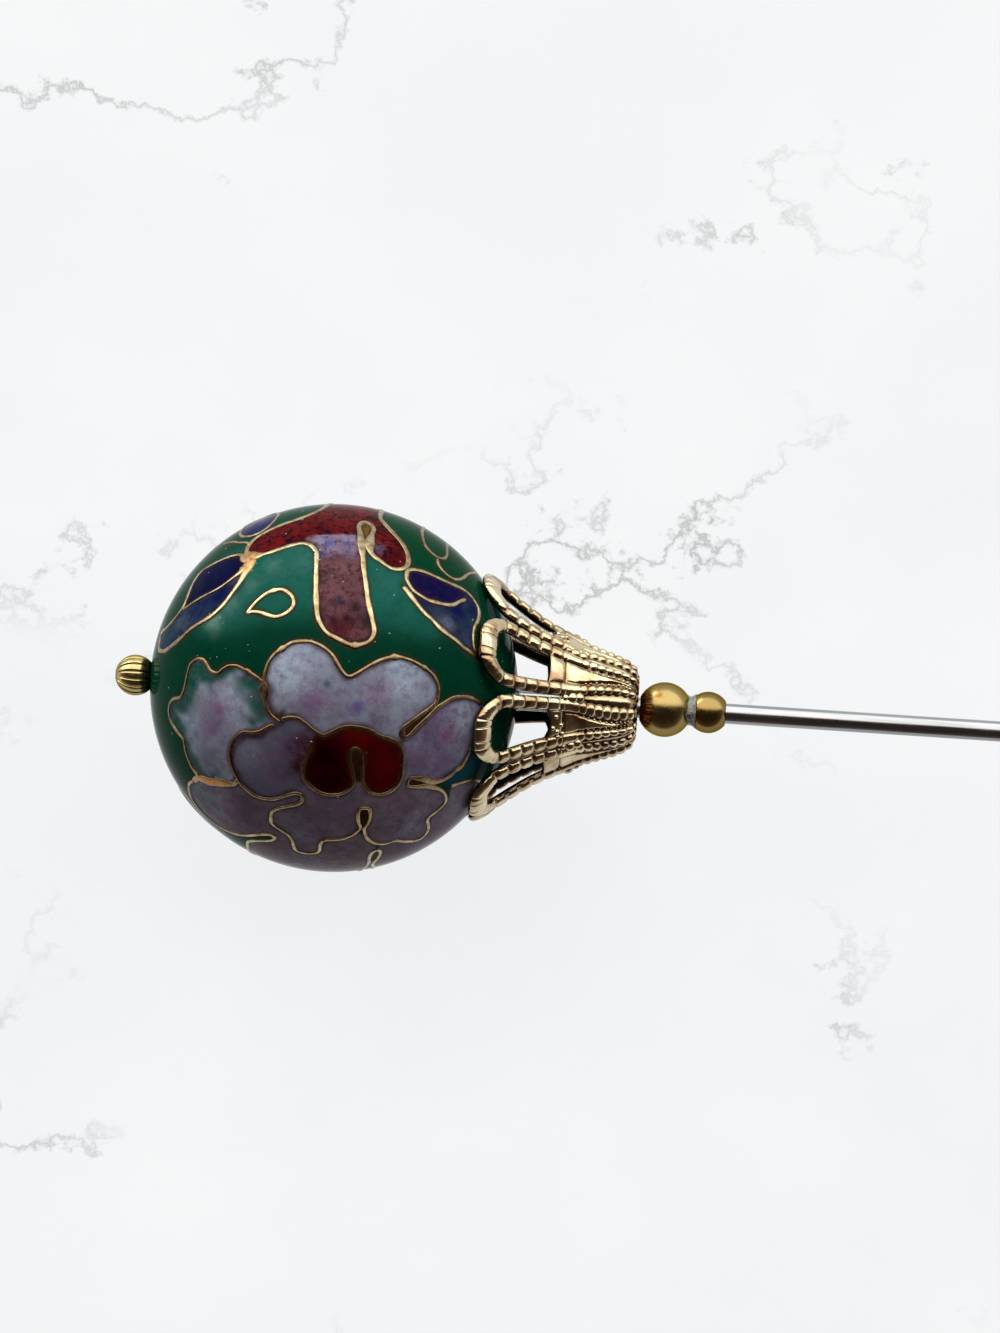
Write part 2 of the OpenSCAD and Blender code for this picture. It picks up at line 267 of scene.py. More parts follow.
def enamel_material():
    """Ground glass in its painted inks, some of which are a painted sheen and painted highlights, mottled and
    flecked with each region's fleck ink
    """
    material, tree, shader = new_material("cloisonne_enamel")
    ink = add(tree, "ShaderNodeAttribute", attribute_name="ink").outputs["Color"]
    fleck = add(tree, "ShaderNodeAttribute", attribute_name="fleck")
    strength, fleck_ink = fleck.outputs["Alpha"], fleck.outputs["Color"]
    patches = ramp(tree, noise(tree, 1.1, 5, 0.7), [(0.44, 0.0), (0.66, 0.75)])
    grains = ramp(tree, noise(tree, 2.3, 4, 0.75), [(0.5, 0.0), (0.58, 1.0)])
    mottled = mix(tree, times(tree, patches, strength), ink, fleck_ink)
    speckled = mix(tree, times(tree, grains, strength), mottled, fleck_ink)
    clouds = ramp(tree, noise(tree, 0.8, 5, 0.65), [(0.32, 0.6), (0.68, 1.35)])
    cloudy = mix(tree, strength, speckled, mix(tree, 1.0, speckled, clouds, "MULTIPLY"))
    pits = ramp(tree, noise(tree, 3.4, 1, 0.5, (1, 1.1, 0.9)), [(0.775, 0.0), (0.79, 0.6)])
    roughness = ramp(tree, noise(tree, 1.5, 3), [(0.35, 0.07), (0.7, 0.16)])
    feed(tree, shader, mix(tree, pits, cloudy, linear(150, 170, 165)), roughness)
    shader.inputs["Specular IOR Level"].default_value = 0.008
    add_bump(tree, shader, noise(tree, 1.6, 3, 0.5), 0.3, 0.02)
    return material


def wire_material():
    """Worn brass, orange where it is soldered and brown where it is dull"""
    material, tree, shader = new_material("cloison_brass", metallic=1)
    tone = tone_of(tree)
    worn = ramp(tree, noise(tree, 2.5, 3, 0.6), [(0.35, linear(133, 109, 72)), (0.62, linear(171, 160, 128))])
    warm = mix(tree, tone["Alpha"], worn, linear(154, 106, 44))
    roughness = ramp(tree, noise(tree, 4, 2), [(0.3, 0.22), (0.7, 0.42)])
    feed(tree, shader, mix(tree, tone["Fac"], warm, linear(76, 42, 24)), roughness)
    add_bump(tree, shader, noise(tree, 8, 2), 0.35, 0.01)
    return material


def pale_gold_material():
    """Bright plate with brown tarnish in its grooves, and tarnish with painted shade along the edges of its
    strands
    """
    material, tree, shader = new_material("pale_gold_plate", metallic=1)
    plate = ramp(tree, noise(tree, 0.8, 3), [(0.35, linear(152, 125, 94)), (0.6, linear(208, 193, 157))])
    roughness = ramp(tree, noise(tree, 3, 3), [(0.35, 0.07), (0.7, 0.18)])
    feed(tree, shader, mix(tree, tone_of(tree)["Fac"], plate, linear(74, 49, 31)), roughness)
    add_bump(tree, shader, noise(tree, 3.2, 4, 0.65), 0.6, 0.03)
    return material


def brass_material(name, clean, tarnish, stain=(122, 72, 16)):
    """Stained brass whose steepest reflections are dull, tarnished where its tone says"""
    material, tree, shader = new_material(name, metallic=1)
    stained = ramp(tree, noise(tree, 0.6, 5, 0.65), [(0.28, linear(*stain)), (0.42, linear(*clean))])
    roughness = ramp(tree, noise(tree, 3.5, 3), [(0.35, 0.18), (0.75, 0.3)])
    feed(tree, shader, mix(tree, tone_of(tree)["Fac"], stained, linear(*tarnish)), roughness)
    shader.inputs["Specular Tint"].default_value = (0.5, 0.44, 0.3, 1)
    add_bump(tree, shader, noise(tree, 3, 3), 0.3, 0.012)
    return material


def steel_material():
    """Steel wire polished along its length"""
    material, tree, shader = new_material("polished_steel", metallic=1)
    drawn = noise(tree, 4, 3, 0.6, (0.02, 1, 1))
    feed(tree, shader, ramp(tree, drawn, [(0.3, linear(136, 137, 140)), (0.7, linear(160, 161, 164))]),
         ramp(tree, drawn, [(0.3, 0.16), (0.7, 0.26)]))
    add_bump(tree, shader, drawn, 0.25, 0.004)
    return material


def copper_material():
    """Bare copper, uneven in colour"""
    material, tree, shader = new_material("bare_copper", metallic=1)
    shader.inputs["Roughness"].default_value = 0.4
    uneven = ramp(tree, noise(tree, 1.2, 4), [(0.3, linear(120, 62, 40)), (0.7, linear(196, 122, 88))])
    feed(tree, shader, uneven)
    return material


def glue_material():
    """Clear glue with a cloudy grey tint"""
    material, tree, shader = new_material("clear_glue")
    cloudy = ramp(tree, noise(tree, 3, 3), [(0.3, linear(92, 92, 88)), (0.7, linear(206, 206, 198))])
    feed(tree, shader, cloudy)
    shader.inputs["Roughness"].default_value = 0.06
    shader.inputs["IOR"].default_value = 1.45
    shader.inputs["Transmission Weight"].default_value = 0.7
    add_bump(tree, shader, noise(tree, 3, 3), 0.5, 0.05)
    return material


# Chart of the ball

# The pattern is charted in millimetres of arc about the point of the ball that faces the viewer:
# the first number runs along the pin to its tip, the second to the top of the picture. The limb is at 15.7.
# A turn moves a motif about the pin, towards the top of the picture.

def from_chart(points, turn):
    """Directions from the ball's centre to points of the chart"""
    points = np.asarray(points, dtype=float)
    reach = np.hypot(points[:, 0], points[:, 1])
    c = reach / BALL_R
    share = np.sin(c) / np.maximum(reach, 1e-9)
    x = np.cos(c)
    top = share * points[:, 1]
    z = share * points[:, 0]
    return np.stack([x * math.cos(turn) - top * math.sin(turn),
                     -x * math.sin(turn) - top * math.cos(turn), z], axis=1)


def to_chart(directions, turn):
    """Points of the chart that lie in given directions from the ball's centre"""
    x, top = directions[:, 0], -directions[:, 1]
    x, top = x * math.cos(turn) + top * math.sin(turn), top * math.cos(turn) - x * math.sin(turn)
    z = directions[:, 2]
    c = np.arccos(np.clip(x, -1, 1))
    share = BALL_R * c / np.maximum(np.hypot(top, z), 1e-9)
    return np.stack([share * z, share * top], axis=1)


# Distances between the dots of a line, in mm of the chart
FINE_STEP = 0.12
COARSE_STEP = 0.25


def smooth(points, closed=False, step=FINE_STEP):
    """Curve through points, with a dot about every step"""
    points = np.asarray(points, dtype=float)
    count = len(points)
    spans = count if closed else count - 1
    dots = []
    for i in range(spans):
        if closed:
            a, b, c, d = (points[(i + k) % count] for k in (-1, 0, 1, 2))
        else:
            a, b, c, d = (points[min(max(i + k, 0), count - 1)] for k in (-1, 0, 1, 2))
        steps = max(1, round(np.linalg.norm(c - b) / step))
        for f in np.arange(steps) / steps:
            dots.append(0.5 * (2 * b + (c - a) * f + (2 * a - 5 * b + 4 * c - d) * f ** 2
                               + (3 * b - a - 3 * c + d) * f ** 3))
    if not closed:
        dots.append(points[-1])
    return np.array(dots)


# Outlines of the pattern

# The red leaf with its stem, its left arm, the narrow loop and its right lobe, closed past the limb
RED_LEAF = [
    (-1.5, 8), (-1.35, 6), (-1.25, 5), (-1.1, 4), (-0.9, 3.5), (-0.5, 3), (0.1, 2.7), (0.9, 2.4),
    (1.5, 2.5), (1.95, 2.8), (2.1, 3.3), (1.95, 4), (1.7, 5), (1.55, 6), (1.4, 7), (1.3, 8), (1.2, 9),
    (1.1, 10), (1, 10.8), (1.2, 11.3), (1.5, 11.45), (1.85, 11.2), (2, 10.7), (1.85, 10), (1.7, 9.3),
    (1.75, 8.6), (2, 8.15), (2.4, 7.85), (2.8, 7.55), (3.2, 7.4), (3.7, 7.5), (4.05, 7.8), (4.2, 8.3),
    (4.15, 9), (3.9, 9.7), (3.5, 10.4), (3.1, 11.1), (2.8, 11.7), (2.6, 12.2), (2.6, 12.9), (2.75, 13.6),
    (2.95, 14.75), (3, 16), (2.4, 17), (0.8, 17.6), (-1, 16.8), (-1.3, 15.5), (-1.5, 14), (-1.7, 13.2),
    (-2.1, 12.6), (-2.7, 12), (-3.4, 11.5), (-4.2, 11.1), (-5, 10.6), (-5.7, 10.1), (-6.1, 9.6),
    (-6.3, 9), (-6.2, 8.4), (-5.9, 8.15), (-5.4, 8.05), (-4.5, 8.25), (-3.5, 8.65), (-2.7, 8.9),
    (-2.2, 8.85), (-1.8, 8.6), (-1.55, 8.2),
]
# The bud at the back and the stem's ink follow the red leaf's stem
RED_BUD = [(-1.5, 7.6)] + RED_LEAF[1:14] + [(1.35, 7), (0.7, 7.9), (-0.2, 8.3), (-1, 8.2)]
STEM = ([(-2.4, 9.3), (-2.05, 9.65), (-0.6, 9.75), (0.95, 9.9), (1.15, 9)] + RED_LEAF[15::-1]
        + [(-1.7, 8.6), (-2.2, 9)])
TEARDROP = [
    (-5.2, 4.05), (-4.9, 4.55), (-4.55, 4.95), (-4.1, 5.3), (-3.7, 5.45), (-3.3, 5.5), (-2.9, 5.3),
    (-2.6, 5), (-2.5, 4.6), (-2.65, 4.25), (-3, 3.95), (-3.45, 3.8), (-3.95, 3.9), (-4.4, 4.05),
    (-4.9, 4.1),
]
LEFT_LEAF_TOP = [
    (-5.75, 7.9), (-6.2, 8), (-6.5, 8.25), (-6.8, 8.4), (-7.5, 8.4), (-8.3, 8.25), (-9.2, 8),
    (-9.9, 7.75), (-10.3, 7.3), (-10.5, 6.6), (-10.55, 5.8), (-10.65, 5), (-10.9, 4.6), (-11.3, 4.2),
    (-11.9, 3.8), (-12.6, 3.5), (-13.2, 3.4),
]
LEFT_LEAF_VEIN = [
    (-6.1, 7.3), (-6.25, 6.9), (-6.7, 6.5), (-7.2, 6.1), (-7.8, 5.75), (-8.5, 5.5), (-9.2, 5.25),
    (-9.8, 5), (-10.3, 4.8), (-10.7, 4.75),
]
LEFT_LEAF_FOOT = [
    (-5.7, 7.9), (-5.9, 6.9), (-6.1, 6.2), (-6.4, 5.6), (-6.8, 4.9), (-7.2, 4.4), (-7.8, 3.9),
    (-8.6, 3.5), (-9.4, 3.1), (-10.1, 2.6), (-10.9, 2.2), (-11.6, 1.9), (-12.2, 1.8), (-13, 2),
    (-13.3, 2.7), (-13.2, 3.4),
]
SMALL_LEAF = [
    (-8.2, 13.2), (-8, 12.2), (-7.8, 11.2), (-7.4, 10.6), (-6.9, 10.3), (-6.3, 10.25), (-5.8, 10.45),
    (-5.4, 10.9), (-5.15, 11.5), (-5.05, 12.3), (-5.1, 13), (-5.6, 13.9), (-6.6, 14.3), (-7.6, 14),
]
SMALL_LEAF_STEM = [(-6.3, 9.2), (-6.5, 9.5), (-7.3, 9.75), (-8, 10.1), (-9, 10.3)]
RIGHT_LEAF = [
    (8.2, 6.3), (7.65, 6), (7.2, 5.7), (6.6, 5.55), (6, 5.55), (5.4, 5.6), (4.9, 5.8), (4.4, 6.1),
    (4.1, 6.55), (4, 6.95), (4.1, 7.45), (4.4, 7.6), (4.9, 7.65), (5.35, 7.6), (6, 7.45), (6.65, 7.3),
    (7.2, 7.2), (8, 7.1), (8.7, 6.8), (9.2, 6.3), (9.4, 5.8), (9.2, 5.1), (8.8, 4.5), (8.6, 3.8),
    (8.65, 3.1), (9, 2.5),
]
RIGHT_LEAF_FOOT = [
    (3.8, 6.25), (4.2, 5.75), (4.6, 5.25), (5.05, 4.75), (5.6, 4.35), (6.05, 3.95), (6.65, 3.6),
    (7.25, 3.3), (7.7, 3), (8.2, 2.8), (9.1, 2.35),
]
SCROLL_TOP = [
    (6.6, 13.8), (6.2, 13), (5.9, 12.3), (5.7, 11.6), (5.6, 10.8), (5.65, 10.2), (5.9, 9.7), (6.3, 9.35),
    (6.7, 9.25), (7.1, 9.45), (7.4, 9.9), (7.6, 10.5), (7.9, 11.3), (8.3, 12),
]
SCROLL_FOOT = [
    (6.4, 9.1), (6.4, 8.6), (6.6, 8.2), (7, 7.85), (7.5, 7.7), (8, 7.85), (8.5, 8.2), (8.9, 8.6),
    (9.4, 9), (10, 9.4), (10.6, 9.8),
]

# The flower. Each petal's outline is in stretches that its neighbours share.
UPPER_TOP = [
    (-2.75, -2.05), (-3.25, -1.75), (-3.6, -1.2), (-3.75, -0.6), (-3.8, 0.05), (-3.75, 0.65), (-3.6, 1.2),
    (-3.3, 1.65), (-2.8, 2.05), (-2.35, 2.35), (-1.75, 2.45), (-1.3, 2.45), (-0.75, 2.25), (-0.3, 1.95),
    (-0.05, 1.7), (0.2, 1.3), (0.45, 0.95), (0.75, 0.7), (1.05, 0.73), (1.45, 1), (1.95, 1.35),
    (2.55, 1.7), (3.1, 1.9), (3.6, 1.95), (4.2, 1.85), (4.75, 1.65), (5.35, 1.35), (5.8, 0.95),
    (6.05, 0.4), (6.05, -0.1), (5.95, -0.45), (5.75, -0.65), (5.35, -0.95), (4.9, -1.3), (4.4, -1.7),
    (4.1, -1.95), (4.05, -2.35),
]
RIGHT_TOP = [
    (4.25, -2.5), (4.45, -2.4), (4.8, -2), (5.25, -1.55), (5.7, -1.1), (6.05, -0.75), (6.4, -0.5),
    (7, -0.15), (7.6, 0), (8.2, 0), (8.8, -0.15), (9.3, -0.4), (9.9, -0.8), (10.4, -1.5),
]
UNDER_LEFT = [(-2.65, -1.9), (-2.25, -1.75), (-1.8, -1.75), (-1.4, -1.95), (-1, -2.25), (-0.6, -2.5)]
UNDER_RIGHT = [
    (-0.3, -2.6), (0.2, -2.35), (0.65, -2.1), (1.25, -2), (1.8, -2.05), (2.3, -2.2), (2.8, -2.45),
    (3.35, -2.6), (3.75, -2.75),
]
CENTRE_RIGHT = [(4.05, -3.05), (4.25, -3.55), (4.3, -4.1), (4.35, -4.7), (4.25, -5.2)]
CENTRE_FOOT = [(4, -5.6), (3.6, -5.9), (3.1, -6), (2.65, -5.9), (2.3, -5.6)]
CENTRE_FOLD = [
    (2.1, -5.25), (2, -4.9), (1.9, -3.75), (1.75, -3.4), (1.5, -3.2), (1.3, -3.3), (1.2, -3.55),
    (1.25, -4), (1.4, -4.5), (1.5, -4.9), (1.55, -5.2),
]
CENTRE_LEFT_FOOT = [(1.4, -5.6), (1, -5.95), (0.55, -6.1), (0, -6.1), (-0.45, -5.95), (-0.95, -5.6)]
CENTRE_LEFT = [(-1.25, -5.25), (-1.35, -4.8), (-1.3, -4.35), (-1.2, -3.9), (-1.05, -3.45), (-0.95, -2.95)]
LEFT_PETAL = [
    (-3.85, 0.1), (-4.35, 0.4), (-4.75, 0.6), (-5.2, 0.8), (-5.5, 0.9), (-6, 0.9), (-6.4, 0.7),
    (-6.7, 0.45), (-7, 0.45), (-7.3, 0.6), (-7.6, 0.95), (-7.9, 1.2), (-8.3, 1.25), (-8.65, 1.1),
    (-8.95, 0.8), (-9.15, 0), (-9.3, -0.65), (-9.65, -1.2), (-10.4, -1.4), (-10.8, -1.8), (-10.9, -2.4),
    (-10.6, -3.05), (-9.95, -3.6), (-9.45, -4), (-9.35, -4.8), (-9, -5.65), (-8.75, -6), (-8.4, -6.3),
]
STUB = [(-9, -6.9), (-8.5, -6.5), (-7.5, -6.5), (-6.65, -6.35), (-5.7, -6.25)]
MIDDLE_LEFT_EDGE = [
    (-3.1, -2.25), (-3.45, -2.4), (-3.8, -2.65), (-4.3, -2.8), (-4.75, -2.8), (-5.1, -2.95),
    (-5.45, -3.3), (-5.7, -3.75), (-5.8, -4.35), (-5.7, -4.95), (-5.45, -5.55),
]
MIDDLE_LEFT_FOOT = [
    (-5.2, -6.05), (-4.75, -6.45), (-4.3, -6.75), (-3.7, -6.85), (-3.1, -6.8), (-2.6, -6.6),
    (-2.05, -6.3), (-1.7, -6.2),
]
LOW_CENTRE_LEFT = [
    (-1.4, -6.3), (-1.35, -6.65), (-1.65, -6.95), (-2.25, -7.2), (-2.75, -7.4), (-3.2, -7.75),
    (-3.3, -8.25), (-3.25, -8.7), (-2.65, -9.2),
]
LOW_CENTRE_FOOT = [
    (-2.25, -9.5), (-2, -10.05), (-1.85, -10.9), (-1.4, -11.2), (-0.8, -11.2), (-0.25, -10.9),
    (-0.15, -10.05), (0.15, -9.65), (1.1, -9.5), (1.8, -9.1), (2.05, -8.8),
]
NARROW_LOOP_LEFT = [(2.25, -8.45), (2.1, -8.05), (2, -7.5), (2.05, -7.05), (2.4, -6.95)]
LOW_RIGHT = [
    (2.65, -7.05), (2.75, -7.5), (2.7, -8), (2.5, -8.5), (2.6, -9), (2.85, -9.5), (3.4, -9.95),
    (4, -10.1), (4.8, -9.9), (5.65, -10.15), (6.5, -10.3), (7, -9.95), (7.15, -9.3), (6.95, -8.7),
    (6.8, -8.4), (6.8, -8), (7.2, -7.65), (7.5, -7.35), (7.75, -7), (7.75, -6.6), (7.5, -6.2),
    (7.1, -5.9), (6.65, -5.7), (6.05, -5.55), (5.35, -5.55), (4.8, -5.45),
]
RIGHT_FOOT = [
    (4.75, -5.2), (4.9, -4.95), (5.35, -5), (5.8, -5.05), (6.3, -5.25), (6.75, -5.3), (7.25, -5.2),
    (7.7, -4.95), (8, -4.65), (8.4, -4.4), (8.7, -3.8), (9, -3.2), (9.8, -2.8), (10.5, -2.3),
    (10.6, -1.8),
]
LOW_LEFT = [
    (-9.1, -6.95), (-9.6, -7.3), (-9.9, -7.9), (-10, -8.6), (-9.8, -9.3), (-9.3, -9.9), (-8.6, -10.4),
    (-7.8, -10.8), (-6.9, -10.9), (-6, -10.8), (-5.2, -10.5), (-4.4, -10.1), (-3.6, -9.8), (-3.25, -9.85),
]
BOTTOM = [
    (-3.2, -10.1), (-3.5, -10.4), (-4.2, -10.7), (-4.9, -11), (-5.4, -11.4), (-5.6, -12), (-5.8, -12.8),
    (-6, -14.3), (-5.6, -16), (-3.8, -17.3), (-1, -17.2), (1.4, -17.5), (3, -16.8), (3.2, -15.2),
    (3.3, -13.8), (3.4, -13), (3.4, -12.4), (3.3, -11.8), (3.35, -11.1), (3.65, -10.75),
]
BOTTOM_RIGHT = [
    (3.95, -11), (4, -11.4), (3.95, -12), (3.8, -12.6), (3.8, -13.1), (4, -13.7), (4.2, -14.4),
    (4.5, -15.9), (5.6, -16.8), (8, -16), (10.6, -13.6), (12.4, -11), (13, -8.8), (12.5, -7.4),
    (11.9, -6.8), (11.2, -6.2), (10.4, -5.75), (9.7, -5.6), (8.8, -5.6), (7.9, -5.75),
]

# Each wire is its stretches in order, half its width, and whether it closes
FLOWER_WIRES = [
    (UPPER_TOP + RIGHT_TOP, 0.12, False),
    (UNDER_LEFT + UNDER_RIGHT + CENTRE_RIGHT + CENTRE_FOOT + CENTRE_FOLD + CENTRE_LEFT_FOOT + CENTRE_LEFT,
     0.105, False),
    (LEFT_PETAL, 0.1, False),
    (STUB + [(-5.35, -5.9)], 0.16, False),
    (MIDDLE_LEFT_EDGE + MIDDLE_LEFT_FOOT + LOW_CENTRE_LEFT + LOW_CENTRE_FOOT + NARROW_LOOP_LEFT + LOW_RIGHT
     + RIGHT_FOOT, 0.105, False),
    (LOW_LEFT + BOTTOM + BOTTOM_RIGHT, 0.1, False),
]
LEAF_WIRES = [
    (TEARDROP, 0.125, True), (LEFT_LEAF_TOP, 0.11, False), (LEFT_LEAF_VEIN, 0.09, False),
    (LEFT_LEAF_FOOT, 0.15, False), (RIGHT_LEAF, 0.125, False), (RIGHT_LEAF_FOOT, 0.16, False),
]
FRONT_WIRES = [
    (RED_LEAF, 0.145, True), (SMALL_LEAF, 0.095, True), (SMALL_LEAF_STEM, 0.095, False),
    (SCROLL_TOP, 0.1, False), (SCROLL_FOOT, 0.1, False),
]
BACK_WIRES = [(RED_BUD, 0.145, True)]

# Solder and burrs that thicken the wires: place, reach and added half width
SOLDER = [
    (1.2, 9.2, 1.1, 0.08), (1.72, 9.4, 0.8, 0.09), (1.1, 2.3, 0.25, 0.1), (-3.75, -0.35, 0.5, 0.14),
    (-5.8, 7.7, 1, 0.3), (-6.1, 6.6, 0.5, 0.08), (-3.8, 5.55, 0.2, 0.1), (3.3, 2, 0.2, 0.1),
    (5.15, 1.55, 0.2, 0.1), (-4.76, 0.7, 0.22, 0.1), (-2.9, 2, 0.2, 0.08), (-7.5, -6.5, 1.6, 0.12),
    (6.3, -5.2, 0.8, 0.09), (5.6, -5.1, 0.5, 0.08), (4.1, -2.3, 0.3, 0.06), (-3.3, -9.9, 0.3, 0.08),
    (3.6, -10.8, 0.35, 0.05), (8.3, -4.5, 0.5, 0.05),
]

# Inks, as they look on a screen
GREEN = (1, 45, 31)
DEEP_GREEN = (0, 32, 21)
# Painted sheen: the paler green of the ground round the red leaf
PAINTED_SHEEN_GREEN = (18, 72, 62)
FOREST_GREEN = (1, 46, 25)
RIM_GREEN = (3, 62, 48)
SEA_GREEN = (50, 96, 92)
PETAL = (112, 116, 132)
LIGHT_PETAL = (150, 162, 180)
MAUVE = (99, 90, 98)
PURPLE = (84, 64, 92)
DARK_RED = (60, 2, 3)
CRIMSON = (78, 10, 13)
NEAR_BLACK = (20, 4, 8)
ROSY = (84, 54, 59)
BROWN = (50, 34, 14)
BLUE = (3, 8, 46)
SLATE = (30, 42, 62)
GREY_BLUE = (64, 78, 108)
# Painted highlight: the pale lilac of the sheen on the red leaf's stem
PAINTED_HIGHLIGHT_LILAC = (116, 108, 138)

# Ink, fleck ink, fleck strength and soft edge of what most petals are filled with
MAUVE_GLASS = (MAUVE, PURPLE, 0.55, 0.05)
PETAL_GLASS = (PETAL, PURPLE, 0.35, 0.05)

